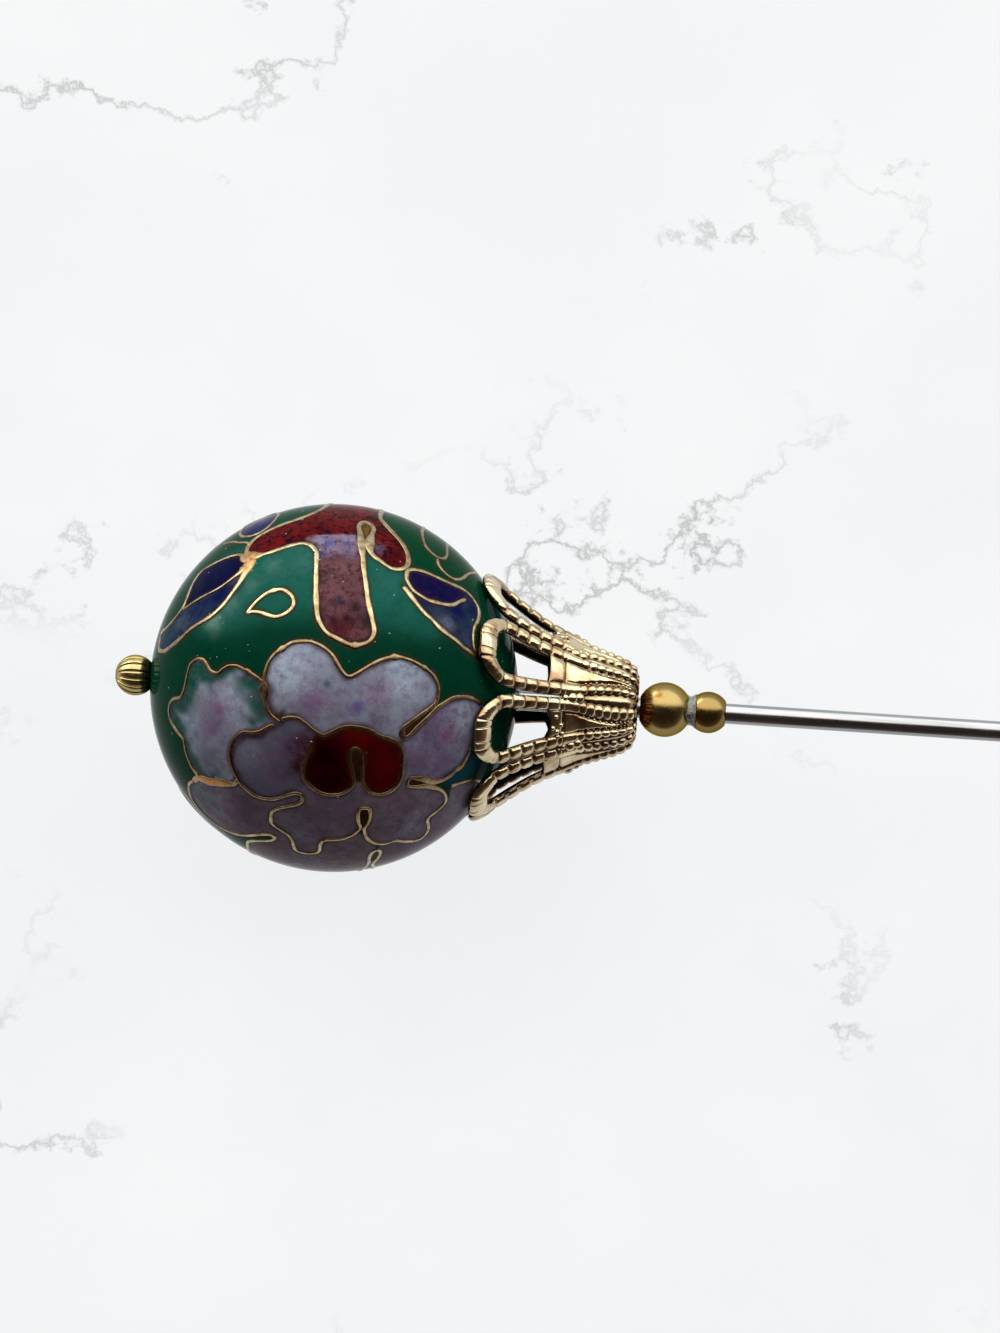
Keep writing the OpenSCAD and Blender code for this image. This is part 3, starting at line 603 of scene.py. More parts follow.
# Each region is its closed outline's stretches, then ink, fleck ink and fleck strength, soft edge in mm,
# and soft spots inside it: place, reach, ink and strength. A spot that only tints a rim inside the outline
# ends with the rim's width.
FLOWER_REGIONS = [
    ([[(-2.2, -5.2), (4.9, -4.9), (4.9, -5.6), (2.2, -7.2), (-1.2, -6.8)]], *MAUVE_GLASS, []),
    ([LOW_LEFT, [(-3.2, -10.1)], LOW_CENTRE_LEFT[::-1], MIDDLE_LEFT_FOOT[::-1], STUB[::-1]],
     *MAUVE_GLASS,
     [(-7.5, -8.2, 2.2, PETAL, 0.75), (-8.7, -8.1, 1.7, (80, 102, 96), 0.8),
      (-6.1, -8.4, 1, (110, 80, 102), 0.6), (-4.6, -8.6, 1.5, PURPLE, 0.4),
      (-9.2, -8.8, 1.6, RIM_GREEN, 0.9, 0.5), (-5, -7.4, 1.4, (52, 46, 52), 0.6)]),
    ([BOTTOM, [(3.4, -9.95)], LOW_CENTRE_FOOT[::-1], [(-2.65, -9.2)]],
     (107, 97, 99), PURPLE, 0.55, 0.05,
     [(-1, -13, 2.4, PETAL, 0.4), (1.6, -11.2, 1.6, PURPLE, 0.3)]),
    ([BOTTOM_RIGHT, [(8, -6.6), (7.5, -7.4), (7.1, -7.9), (6.95, -8.7), (7.15, -9.3), (7, -9.95),
                     (6.5, -10.3), (5.65, -10.15), (4.8, -9.9), (4, -10.1), (3.65, -10.75)]],
     MAUVE, PURPLE, 0.55, 0.12,
     [(9, -8, 2, PETAL, 0.4), (5.5, -12, 2, PURPLE, 0.25)]),
    ([LEFT_PETAL, STUB[1:], MIDDLE_LEFT_EDGE[::-1], UPPER_TOP[:5]],
     *PETAL_GLASS,
     [(-5.6, -0.6, 1.7, LIGHT_PETAL, 0.45), (-8.6, -2.6, 1.5, LIGHT_PETAL, 0.35),
      (-7.2, -2.6, 1.8, PURPLE, 0.5), (-6.5, -1.6, 0.6, (108, 60, 92), 0.8),
      (-7, -2.9, 0.9, (100, 70, 100), 0.6), (-7.3, -5, 1.5, (74, 78, 92), 0.7),
      (-8.9, -0.4, 2.4, SEA_GREEN, 0.8, 1.5), (-9.8, -2.6, 2.4, SEA_GREEN, 0.7, 1.4),
      (-4.6, -0.6, 1.8, SEA_GREEN, 0.6, 1.2), (-9.6, -0.9, 2.8, RIM_GREEN, 1, 1.15),
      (-10.3, -2.4, 2.2, RIM_GREEN, 1, 1), (-8.2, 0.7, 2.4, RIM_GREEN, 1, 1.15),
      (-6.6, 0.3, 1.8, RIM_GREEN, 1, 0.6), (-4.3, -0.2, 1.7, RIM_GREEN, 1, 1.1),
      (-4, -1.3, 1.4, RIM_GREEN, 1, 1.1), (-8.9, -5.8, 2.6, RIM_GREEN, 0.95, 1),
      (-9.6, -4.4, 2, RIM_GREEN, 0.8, 0.5)]),
    ([RIGHT_TOP, [(10.6, -1.8)], RIGHT_FOOT[::-1], CENTRE_RIGHT[::-1]],
     (100, 96, 116), PURPLE, 0.55, 0.05,
     [(8, -1.2, 1.5, LIGHT_PETAL, 0.5), (5.8, -2, 1, PURPLE, 0.6), (6.9, -2.3, 0.7, (104, 54, 90), 0.8),
      (5.2, -3.9, 1, PURPLE, 0.7), (6.8, -4.2, 0.9, (84, 66, 100), 0.6),
      (7.6, -0.2, 1.2, RIM_GREEN, 0.9, 0.3)]),
    ([LOW_CENTRE_LEFT, LOW_CENTRE_FOOT, NARROW_LOOP_LEFT, [(2.4, -5.7), (1.6, -5.3)], CENTRE_LEFT_FOOT],
     *MAUVE_GLASS,
     [(-1.4, -9.2, 1.8, PETAL, 0.6), (0.6, -7, 1.6, PURPLE, 0.35), (-0.8, -7.6, 1.2, (76, 70, 76), 0.5)]),
    ([NARROW_LOOP_LEFT[-1:], LOW_RIGHT, CENTRE_FOOT],
     *MAUVE_GLASS,
     [(5.4, -8.4, 1.8, PETAL, 0.65), (4.4, -6.8, 1.3, (102, 74, 96), 0.6)]),
    ([MIDDLE_LEFT_EDGE, MIDDLE_LEFT_FOOT, [(-1.25, -5.8)], CENTRE_LEFT, UNDER_LEFT[::-1]],
     (79, 81, 97), PURPLE, 0.45, 0.05,
     [(-4.6, -4, 1.2, PETAL, 0.5), (-2.6, -3.6, 1, PURPLE, 0.6), (-2.6, -5.6, 1.2, PURPLE, 0.4),
      (-1.3, -3.3, 1.3, (46, 4, 12), 1), (-1.4, -4.5, 1.3, (46, 4, 12), 1),
      (-3.6, -5.2, 0.7, (92, 60, 84), 0.4), (-5.2, -3.8, 3, (18, 14, 10), 0.95, 0.42),
      (-3.9, -2.8, 2, (18, 14, 10), 0.9, 0.34), (-3.6, -6.6, 2.4, (26, 24, 22), 0.8, 0.35)]),
    ([UPPER_TOP, [(4.05, -2.75)], UNDER_RIGHT[::-1], UNDER_LEFT[::-1]],
     *PETAL_GLASS,
     [(-2.3, 1, 1.9, LIGHT_PETAL, 0.85), (3.9, 0.7, 1.8, LIGHT_PETAL, 0.8),
      (-0.9, -0.7, 0.9, (104, 62, 104), 0.7), (-1.5, -1.3, 1.1, PURPLE, 0.5),
      (1.4, -0.9, 0.5, (58, 48, 118), 0.9), (2.5, -0.1, 1, (122, 96, 128), 0.7),
      (2.5, -1.7, 1, PURPLE, 0.5), (0.4, -0.9, 1.2, (110, 98, 122), 0.6),
      (-0.3, 0.2, 0.28, (20, 74, 76), 0.9), (-2.8, 0.5, 0.22, (30, 60, 76), 0.7),
      (-3.3, -0.4, 0.35, (20, 70, 76), 0.8), (-3.4, -0.9, 1.5, BROWN, 1, 0.55),
      (4.6, 1, 1.6, (70, 100, 96), 0.6, 0.3), (5.4, -0.6, 1, (72, 58, 56), 0.6, 0.35)]),
    ([UNDER_RIGHT, CENTRE_RIGHT, CENTRE_FOOT, CENTRE_FOLD, CENTRE_LEFT_FOOT, CENTRE_LEFT, [(-0.75, -2.6)]],
     DARK_RED, NEAR_BLACK, 0.3, 0.05,
     [(-0.1, -3.8, 2.1, (12, 0, 1), 0.95), (0.2, -5.5, 1.7, (20, 0, 1), 0.85),
      (1.6, -2.6, 1.2, (84, 10, 12), 0.6), (3.2, -4.4, 1, (82, 6, 8), 0.6)]),
    ([CENTRE_FOLD], (46, 20, 12), NEAR_BLACK, 0.3, 0.05, []),
    ([UPPER_TOP[-6:], RIGHT_TOP[:6]], BROWN, NEAR_BLACK, 0.3, 0.05, []),
    ([NARROW_LOOP_LEFT, LOW_RIGHT[:4]], (42, 28, 20), NEAR_BLACK, 0.3, 0.05, []),
    ([RIGHT_FOOT[:5], LOW_RIGHT[-4:]], BROWN, NEAR_BLACK, 0.3, 0.05, []),
    ([BOTTOM[-3:], BOTTOM_RIGHT[:3]], (70, 60, 52), BROWN, 0.3, 0.05, []),
    ([[(7, -4.9), (8.2, -4.1), (8.9, -3), (10, -2.6), (10.6, -3.4), (9.6, -5.2), (8.6, -5.5), (7.4, -5.6)]],
     (2, 52, 62), DEEP_GREEN, 0.3, 0.3, [(7.9, -4.8, 0.8, (4, 40, 84), 0.6)]),
]
LEAF_REGIONS = [
    ([LEFT_LEAF_TOP, LEFT_LEAF_FOOT[::-1]],
     SLATE, BLUE, 0.5, 0.05,
     [(-7.4, 5.3, 1.3, (4, 10, 58), 0.9), (-9, 4.4, 1.1, (10, 22, 60), 0.6),
      (-10.4, 3.7, 1.1, (62, 74, 88), 0.5), (-12, 2.8, 1.3, (20, 56, 66), 0.6),
      (-6.3, 7.2, 0.9, (120, 92, 46), 0.9)]),
    ([LEFT_LEAF_TOP[:13], LEFT_LEAF_VEIN[::-1]],
     (1, 6, 36), (24, 16, 50), 0.35, 0.05,
     [(-8, 7.3, 1.2, (2, 8, 50), 0.6), (-9.6, 6.4, 0.8, (9, 20, 46), 0.4)]),
    ([RIGHT_LEAF[6:], RIGHT_LEAF_FOOT[::-1]],
     SLATE, BLUE, 0.4, 0.05,
     [(7.3, 5.4, 1, (3, 8, 66), 0.95), (8.8, 5.8, 0.9, (4, 10, 58), 0.8),
      (4.6, 5.5, 0.8, (12, 18, 46), 0.7), (6.5, 4.3, 0.8, (92, 96, 114), 0.7),
      (7.9, 3.5, 0.8, (58, 62, 86), 0.6)]),
    ([RIGHT_LEAF[:18]],
     BLUE, (34, 10, 50), 0.5, 0.05,
     [(4.8, 6.9, 0.9, (20, 10, 42), 0.6), (6.6, 6.4, 0.9, (2, 9, 52), 0.5)]),
]
FRONT_REGIONS = [
    ([RED_LEAF],
     CRIMSON, NEAR_BLACK, 0.95, 0.05,
     # The lilac spot by the narrow loop is a painted highlight
     [(-5, 9, 1.2, (78, 12, 17), 0.6), (3, 9, 1.2, (78, 10, 15), 0.7), (2.3, 8.9, 0.6, PAINTED_HIGHLIGHT_LILAC, 0.6),
      (0, 12, 1.8, (80, 30, 32), 0.5)]),
    ([STEM],
     ROSY, (32, 14, 24), 0.6, 0.08,
     # The pale lilac spots at the top of the stem and the lilac spots below them are painted highlights
     [(-1.2, 9.2, 1.1, (122, 113, 136), 0.95), (0.3, 9.4, 1.1, (118, 105, 129), 0.9),
      (0.5, 8.4, 0.7, PAINTED_HIGHLIGHT_LILAC, 0.6), (-1, 8.5, 0.7, PAINTED_HIGHLIGHT_LILAC, 0.6), (-0.85, 8.95, 0.5, (44, 58, 108), 0.85),
      (0.25, 9.05, 0.4, (48, 56, 104), 0.8), (-1.1, 8.05, 0.45, (46, 54, 92), 0.8),
      (0, 5.9, 1.4, (100, 64, 68), 0.6), (0.2, 3.2, 1.3, (74, 20, 24), 0.85),
      (0.97, 4.68, 0.5, (24, 20, 24), 0.9), (1.56, 3.8, 0.5, (24, 26, 22), 0.85),
      (0, 4.84, 0.5, (48, 34, 54), 0.85), (-0.24, 3.7, 0.4, (28, 12, 20), 0.8),
      (0.5, 3.9, 0.35, (24, 10, 16), 0.8), (-0.9, 4.2, 0.4, (36, 14, 20), 0.6)]),
    ([[(1, 10.8), (1.2, 11.3), (1.5, 11.45), (1.85, 11.2), (2, 10.7), (1.85, 10), (1.5, 9.6), (1.1, 10)]],
     (86, 62, 30), BROWN, 0.5, 0.05, [(1.5, 10.8, 0.2, (40, 70, 40), 0.7)]),
    ([SMALL_LEAF], (6, 11, 58), GREY_BLUE, 0.15, 0.05, [(-6, 12.5, 0.9, GREY_BLUE, 0.15)]),
]
BACK_REGIONS = [
    ([RED_BUD], ROSY, NEAR_BLACK, 0.75, 0.05,
     [(0.3, 7.2, 1.3, CRIMSON, 0.8), (0.3, 3.2, 1.3, (88, 22, 26), 0.8),
      (1.1, 4.4, 0.5, (34, 22, 28), 0.8)]),
]
# Strength of the flecks in the plain green ground, which has a painted sheen round the red leaf
GROUND_FLECKS = 0.2
GROUND_REGIONS = [
    # The first region is a painted sheen: paler green round the red leaf, with paler spots along a painted
    # streak of reflection left of it
    ([[(-9.6, 4), (-8.4, 3), (-6.8, 2.9), (-4, 3.6), (0, 3.9), (3.6, 3.5), (5.6, 3.4), (6, 4.6),
       (5.2, 6.4), (4.2, 7.6), (1.5, 9.4), (-4, 9.6), (-8, 8.4), (-10.2, 6.4)]],
     PAINTED_SHEEN_GREEN, GREEN, 0.2, 1,
     [(-2.3, 7.5, 1.8, (40, 80, 75), 0.7), (2.6, 6.2, 1.3, (34, 78, 72), 0.7),
      (-6.2, 3.9, 1.4, (30, 72, 64), 0.6), (-7.5, 3.5, 0.8, (84, 118, 106), 0.9),
      (-6.5, 4.7, 0.7, (58, 98, 88), 0.7), (-5.4, 5.9, 0.7, (52, 92, 84), 0.6),
      (-4.2, 7.2, 0.7, (60, 96, 90), 0.6)]),
    ([[(4.8, 8.2), (7, 8.4), (11, 7), (14, 10), (8, 16), (2.5, 16), (2.8, 11)]],
     FOREST_GREEN, DEEP_GREEN, 0.2, 0.8, []),
]
# The back carries the flower, the leaves and a bud again, turned about the pin
BACK_TURN = math.radians(208)

# What is painted and wired, in order, and its turn about the pin
PAINT_JOBS = [
    (GROUND_REGIONS, 0.0),
    (FLOWER_REGIONS + LEAF_REGIONS + BACK_REGIONS, BACK_TURN),
    (FLOWER_REGIONS + LEAF_REGIONS + FRONT_REGIONS, 0.0),
]
WIRE_JOBS = [
    (FLOWER_WIRES + LEAF_WIRES + FRONT_WIRES, 0.0),
    (FLOWER_WIRES + LEAF_WIRES + BACK_WIRES, BACK_TURN),
]


# Enamel

def edge_distance(points, outline):
    """Signed distance from points of the chart to a closed outline, positive inside"""
    nearest = np.full(len(points), np.inf)
    inside = np.zeros(len(points), dtype=bool)
    for a, b in zip(outline, np.roll(outline, -1, axis=0)):
        way = b - a
        length = max(way @ way, 1e-12)
        f = np.clip((points - a) @ way / length, 0, 1)
        nearest = np.minimum(nearest, np.hypot(*(points - a - f[:, None] * way).T))
        if a[1] != b[1]:
            crosses = (a[1] > points[:, 1]) != (b[1] > points[:, 1])
            inside ^= crosses & (points[:, 0] < a[0] + (points[:, 1] - a[1]) * way[0] / way[1])
    return np.where(inside, nearest, -nearest)


def step_up(values, low, high):
    """Smooth step from 0 at low to 1 at high"""
    f = np.clip((values - low) / (high - low), 0, 1)
    return f * f * (3 - 2 * f)


def region_outline(stretches):
    """Closed outline of a region from its stretches"""
    return np.concatenate([smooth(stretch, step=COARSE_STEP) for stretch in stretches])


def wander(points):
    """Uneven value between -1 and 1 that changes over about a millimetre of the chart"""
    x, y = points[:, 0], points[:, 1]
    waves = np.sin(3.1 * x + 1.7 * y + 0.5) + np.sin(3.7 * y - 2.3 * x + 1.9)
    return (waves + 0.8 * np.sin(6.1 * x - 4.3 * y) + 0.6 * np.sin(7.3 * x + 8.3 * y + 2.2)) / 3.4


def paint(directions, ink, fleck, regions, turn):
    """Lay the regions over the inks of the directions"""
    chart = to_chart(directions, turn)
    for stretches, colour, fleck_colour, strength, soft, spots in regions:
        outline = region_outline(stretches)
        low, high = outline.min(axis=0) - soft, outline.max(axis=0) + soft
        near = np.flatnonzero(np.all((chart > low) & (chart < high), axis=1))
        where = chart[near]
        depth = edge_distance(where, outline)
        uneven = wander(where)
        fill = np.tile(linear(*colour), (len(near), 1))
        for x, y, reach, spot, amount, *rim in spots:
            reach = 0.7 * reach * (1 + 0.35 * uneven)
            glow = amount * np.exp(-((where[:, 0] - x) ** 2 + (where[:, 1] - y) ** 2) / reach ** 2)
            if rim:
                width = rim[0] * (1 + 0.35 * wander(0.6 * where))
                glow = step_up(1.6 * glow, 0.2, 0.9) * amount * (1 - step_up(depth, 0.4 * width, 1.3 * width))
            fill += glow[:, None] * (np.array(linear(*spot)) - fill)
        share = step_up(depth, -soft, soft)[:, None]
        ink[near, :3] += share * (fill - ink[near, :3])
        flecks = np.array([*linear(*fleck_colour), strength])
        fleck[near] += share * (flecks - fleck[near])


# The enamel's tint beside the wires, and how far from a line it is looked for
EDGE_INK = (44, 32, 16)
EDGE_REACH = 0.6


def darken_along(directions, ink, wires, turn):
    """Brown tint of the enamel right beside each wire"""
    chart = to_chart(directions, turn)
    edge = np.array(linear(*EDGE_INK))
    for points, half, closed in wires:
        dots = smooth(points, closed, COARSE_STEP)
        low, high = dots.min(axis=0) - EDGE_REACH, dots.max(axis=0) + EDGE_REACH
        near = np.flatnonzero(np.all((chart > low) & (chart < high), axis=1))
        reach = np.full(len(near), np.inf)
        for a, b in zip(dots[:-1], dots[1:]):
            way = b - a
            f = np.clip((chart[near] - a) @ way / max(way @ way, 1e-12), 0, 1)
            reach = np.minimum(reach, np.hypot(*(chart[near] - a - f[:, None] * way).T))
        uneven = wander(chart[near] * 0.7)
        share = (0.7 + 0.25 * uneven) * (1 - step_up(reach, half + 0.03, half + 0.19 + 0.1 * uneven))
        ink[near, :3] += share[:, None] * (edge - ink[near, :3])


# Points round the ball's equator, the distance between its rings in mm, and the number of rings inside it
EQUATOR = 480
RING_STEP = 0.128
INNER_STEPS = 30


def ring_columns(colatitude):
    """Number of points on a ring of the ball, halved towards the holes"""
    width = math.sin(colatitude)
    return EQUATOR // (1 if width > 0.5 else 2 if width > 0.25 else 4 if width > 0.125 else 8)


def enamel_mesh():
    """Points and faces of the enamel with its holes and coarser inside, and how many points are outside"""
    first, inner_first = math.asin(HOLE_R / ENAMEL_R), math.asin(HOLE_R / ENAMEL_INSIDE_R)
    span, inner_span = math.pi - 2 * first, math.pi - 2 * inner_first
    count = round(span * ENAMEL_R / RING_STEP)
    rings = [(ENAMEL_R, first + span * i / count) for i in range(count + 1)]
    outer_rings = len(rings)
    rings += [(ENAMEL_INSIDE_R, math.pi - inner_first - inner_span * i / INNER_STEPS)
              for i in range(INNER_STEPS + 1)]
    points, faces, starts, sizes = [], [], [], []
    for n, (radius, colatitude) in enumerate(rings):
        columns = ring_columns(colatitude) if n < outer_rings else EQUATOR // 8
        turns = np.arange(columns) * 2 * math.pi / columns
        starts.append(len(points))
        sizes.append(columns)
        wide, at = radius * math.sin(colatitude), radius * math.cos(colatitude)
        points += list(zip(wide * np.cos(turns), wide * np.sin(turns), [at] * columns))
    for n in range(len(rings)):
        after = (n + 1) % len(rings)
        faces += ring_faces(starts[n], sizes[n], starts[after], sizes[after])
    return np.array(points), faces, starts[outer_rings]


def ring_faces(start, size, after, after_size):
    """Faces between two rings, of which one may have twice the other's points"""
    if size == after_size:
        return [(start + k, after + k, after + (k + 1) % size, start + (k + 1) % size) for k in range(size)]
    if size < after_size:
        return [face[::-1] for face in ring_faces(after, after_size, start, size)]
    faces = []
    for k in range(after_size):
        a, b, c = (start + (2 * k + i) % size for i in range(3))
        d, e = after + k, after + (k + 1) % after_size
        faces += [(a, d, b), (b, d, e), (b, e, c)]
    return faces


def rest_on_floor(points):
    """Keep points of the pin's frame from dipping under the surface that the pin lies on"""
    heights = points @ np.array([UP.z, 0, AXIS.z]) + CENTRE.z / MM
    under = np.minimum(heights, 0)
    return points - np.outer(under, [UP.z, 0, AXIS.z])


def make_enamel():
    """The enamel with its inks and flecks as colours of its points"""
    points, faces, outer = enamel_mesh()
    directions = points / np.linalg.norm(points, axis=1)[:, None]
    ink = np.ones((len(points), 4))
    ink[:, :3] = linear(*GREEN)
    fleck = np.tile((*linear(*DEEP_GREEN), GROUND_FLECKS), (len(points), 1))
    outside, inks, flecks = directions[:outer], ink[:outer], fleck[:outer]
    for regions, turn in PAINT_JOBS:
        paint(outside, inks, flecks, regions, turn)
    for wires, turn in WIRE_JOBS:
        darken_along(outside, inks, wires, turn)
    piece = make_piece("enamel", rest_on_floor(points), faces, enamel_material(),
                       {"ink": ink, "fleck": fleck})
    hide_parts("enamel_shell")


# Cloison wires

# The wire's section: place across it as a share of half its width, and its radius on the ball
WIRE_SECTION = [
    (-1, ENAMEL_R - 0.03), (-0.85, BALL_R - 0.025), (-0.45, BALL_R - 0.004), (0.45, BALL_R - 0.004),
    (0.85, BALL_R - 0.025), (1, ENAMEL_R - 0.03), (0, ENAMEL_R - 0.1),
]
WIRE_TONES = np.array([0.9, 0.35, 0.0, 0.0, 0.35, 0.9, 1.0])
# The wires are duller in the flower than under and over it, with soft limits up the chart
PATINA = 0.44
PATINA_FOOT = (-7.0, -4.8)
PATINA_TOP = (2.2, 4.4)
# They are dullest at these places, each with its reach and added tone
DULL_SPOTS = [
    (1.2, -3.8, 3.2, 0.3), (-5.4, -4.2, 1.6, 0.4), (-4.0, -6.4, 1.6, 0.4), (-5.6, 0.6, 2.6, 0.2),
    (-9.6, 6.6, 2.6, 0.45), (-9.6, -9.2, 2.4, 0.4), (7.2, 11.0, 3.0, 0.65), (-7.8, 12.6, 3.0, 0.55),
    (0.8, 13.4, 3.2, 0.3),
]
# Solder warms their colour at these places, each with its reach and amount
WARM_SPOTS = [(-7.3, -6.5, 1.8, 0.9), (-5.9, 7.7, 1.1, 0.7), (8.3, -4.5, 1.2, 0.5), (2.1, -8.0, 1.4, 0.4)]
# The wires draw from it first, then the cap's granules
SEED = 7
random = np.random.default_rng(SEED)


def spots_at(dots, spots):
    """Sum of soft spots at dots of the chart, each with its place, reach and amount"""
    total = np.zeros(len(dots))
    for x, y, reach, amount in spots:
        total += amount * np.exp(-((dots[:, 0] - x) ** 2 + (dots[:, 1] - y) ** 2) / reach ** 2)
    return total


def wire_mesh(points, half, closed, turn, start):
    """Points, faces, tones and warmth of one wire laid along a line of the chart"""
    dots = smooth(points, closed)
    count = len(dots)
    widths = np.full(count, half)
    for x, y, reach, added in SOLDER:
        near = np.hypot(dots[:, 0] - x, dots[:, 1] - y) / reach
        widths += added * np.clip(1 - near ** 2, 0, 1)
    waves = random.uniform(0, 2 * math.pi, 3)
    along = np.arange(count) * FINE_STEP
    widths *= 1 + 0.09 * np.sin(along * 1.9 + waves[0]) + 0.07 * np.sin(along * 4.7 + waves[1])
    centres = from_chart(dots, turn)
    if closed:
        ahead, behind = np.roll(centres, -1, axis=0), np.roll(centres, 1, axis=0)
    else:
        ahead = np.vstack([centres[1:], centres[-1:]])
        behind = np.vstack([centres[:1], centres[:-1]])
        # the ends are rounded
        ends = np.minimum(along, along[::-1])
        widths *= np.sqrt(np.clip(0.35 + ends / 0.2, 0, 1))
    sides = np.cross(centres, ahead - behind)
    sides /= np.linalg.norm(sides, axis=1)[:, None]
    rings = []
    for share, radius in WIRE_SECTION:
        spot = centres * BALL_R + sides * (share * widths)[:, None]
        rings.append(spot / np.linalg.norm(spot, axis=1)[:, None] * radius)
    size = len(WIRE_SECTION)
    mesh_points = np.stack(rings, axis=1).reshape(-1, 3)
    faces = grid_faces(count, size, start, flip=True, joined=closed, capped=not closed)
    patina = PATINA * (1 - step_up(dots[:, 1], *PATINA_TOP)) * step_up(dots[:, 1], *PATINA_FOOT)
    patina += spots_at(dots, DULL_SPOTS)
    tones = np.clip(WIRE_TONES[None] + patina[:, None], 0, 1).ravel()
    warmth = np.repeat(np.clip(spots_at(dots, WARM_SPOTS), 0, 1), size)
    return mesh_points, faces, tone_colours(tones, warmth)


def make_wires():
    """All the cloison wires, as one piece of separate closed strips"""
    points, faces, tones = [], [], []
    start = 0
    for wires, turn in WIRE_JOBS:
        for line, half, closed in wires:
            wire_points, wire_faces, wire_tones = wire_mesh(line, half, closed, turn, start)
            points.append(wire_points)
            faces += wire_faces
            tones.append(wire_tones)
            start += len(wire_points)
    make_piece("cloison_wires", rest_on_floor(np.concatenate(points)), faces, wire_material(),
               {"tone": np.concatenate(tones)})


# Pierced cap

# Middle line of the cap's sheet: place along the pin and radius, as in the CAD model
CAP_LINE = np.array([
    (16.26, 0.35), (16.26, 1.5), (16.06, 2.0), (15.6, 2.34), (14.9, 2.61), (14.0, 2.92), (13.2, 3.2),
    (12.4, 3.6), (11.1, 4.26), (10.0, 4.98), (9.0, 5.72), (8.2, 6.34), (7.6, 6.84),
])
# The row on which the loops stand
BASE_ROW = 7
LOOPS = 8
LOOP_TURN = 2 * math.pi / LOOPS
CAP_TURN = math.radians(17.5)
# Widths of a loop's strand on its sides and at its tip, and the radius of its middle at the corners
STRAND_W = 0.72
STRAND_TIP_W = 0.88
CORNER_R = 1.1
# How far the strands rise outside and the sheet reaches inside its middle line
CROWN = 0.28
INSIDE = 0.22
# Gaps between neighbouring loops, at their feet and at their corners
BASE_GAP = 0.12
CORNER_GAP = 0.4


def sheet_row(t):
    """Place and radius of the middle line at fractional rows"""
    t = np.asarray(t, dtype=float)
    last = len(CAP_LINE) - 1
    i = np.minimum(np.floor(t).astype(int), last - 1)
    f = (t - i)[..., None]
    a, b, c, d = (CAP_LINE[np.clip(i + k, 0, last)] for k in (-1, 0, 1, 2))
    return 0.5 * (2 * b + (c - a) * f + (2 * a - 5 * b + 4 * c - d) * f ** 2
                  + (3 * b - a - 3 * c + d) * f ** 3)


def sheet_normal(t):
    """Outward normals of the middle line, in place along the pin and radius"""
    last = len(CAP_LINE) - 1
    way = sheet_row(np.minimum(t + 0.05, last)) - sheet_row(np.maximum(t - 0.05, 0))
    way /= np.linalg.norm(way, axis=-1)[..., None]
    return np.stack([way[..., 1], -way[..., 0]], axis=-1)


FINE_ROWS = np.linspace(BASE_ROW, len(CAP_LINE) - 1, 600)
FINE_PLACES = sheet_row(FINE_ROWS)[:, 0]


def row_at(at):
    """Fractional row of the loops' stretch at a place along the pin"""
    return np.interp(at, FINE_PLACES[::-1], FINE_ROWS[::-1])


def on_sheet(row, turn, lift):
    """Points of the sheet at rows and turns about the pin, lifted off the middle line"""
    spot = sheet_row(row) + np.asarray(lift)[..., None] * sheet_normal(row)
    return np.stack([spot[..., 1] * np.cos(turn), spot[..., 1] * np.sin(turn), spot[..., 0]], axis=-1)


BASE_AT = sheet_row(BASE_ROW)[0]
TIP_AT_BALL = 7.72
TIP_LINE_AT = TIP_AT_BALL + STRAND_TIP_W / 2
CORNER_AT = TIP_LINE_AT + CORNER_R


def strand_x(at):
    """Distance of a strand's middle from the loop's middle, at a place along its side"""
    f = (BASE_AT - at) / (BASE_AT - CORNER_AT)
    gap = BASE_GAP + (CORNER_GAP - BASE_GAP) * f ** 2
    return math.pi * sheet_row(row_at(at))[..., 1] / LOOPS - gap / 2 - STRAND_W / 2


FLAT_X = strand_x(np.array([CORNER_AT]))[0] - CORNER_R
SIDE_STEPS = 84
CORNER_STEPS = 34
TIP_STEPS = 28


def strand_line():
    """Middle of one loop's strand from its left foot round to its right foot, its angle and its arc length"""
    at = np.linspace(BASE_AT, CORNER_AT, SIDE_STEPS + 1)
    side = np.stack([strand_x(at), at], axis=1)
    angles = np.linspace(0, math.pi / 2, CORNER_STEPS + 1)[1:]
    corner = np.stack([FLAT_X + CORNER_R * np.cos(angles), CORNER_AT - CORNER_R * np.sin(angles)], axis=1)
    tip_x = np.linspace(FLAT_X, 0, TIP_STEPS // 2 + 1)[1:]
    tip = np.stack([tip_x, np.full(TIP_STEPS // 2, TIP_LINE_AT)], axis=1)
    half = np.concatenate([side, corner, tip])
    angle = np.concatenate([np.zeros(SIDE_STEPS + 1), angles, np.full(TIP_STEPS // 2, math.pi / 2)])
    line = np.concatenate([half * (-1, 1), half[:-1][::-1]])
    angle = np.concatenate([angle, angle[:-1][::-1]])
    side_of = np.where(np.arange(len(line)) < len(half), -1, 1)
    length = np.concatenate([[0], np.cumsum(np.linalg.norm(np.diff(line, axis=0), axis=1))])
    return line, angle, side_of, length


# Shares of half the strand's width across its outside and inside
ACROSS = np.cos(np.linspace(0, math.pi, 11))
ACROSS_INSIDE = np.array([-0.7, 0.0, 0.7])
# The same round its whole section, whose sides and inside lie this deep under the middle line
ROUND = np.concatenate([ACROSS, ACROSS[-1:], ACROSS_INSIDE, ACROSS[:1]])
DEPTHS = -INSIDE * np.array([0.5, 1, 1, 1, 0.5])
# Tones where the metal is tarnished all over or bright
INSIDE_TONE = 0.85
STRAND_INSIDE_TONE = 0.9
GRANULE_TONE = 0.08
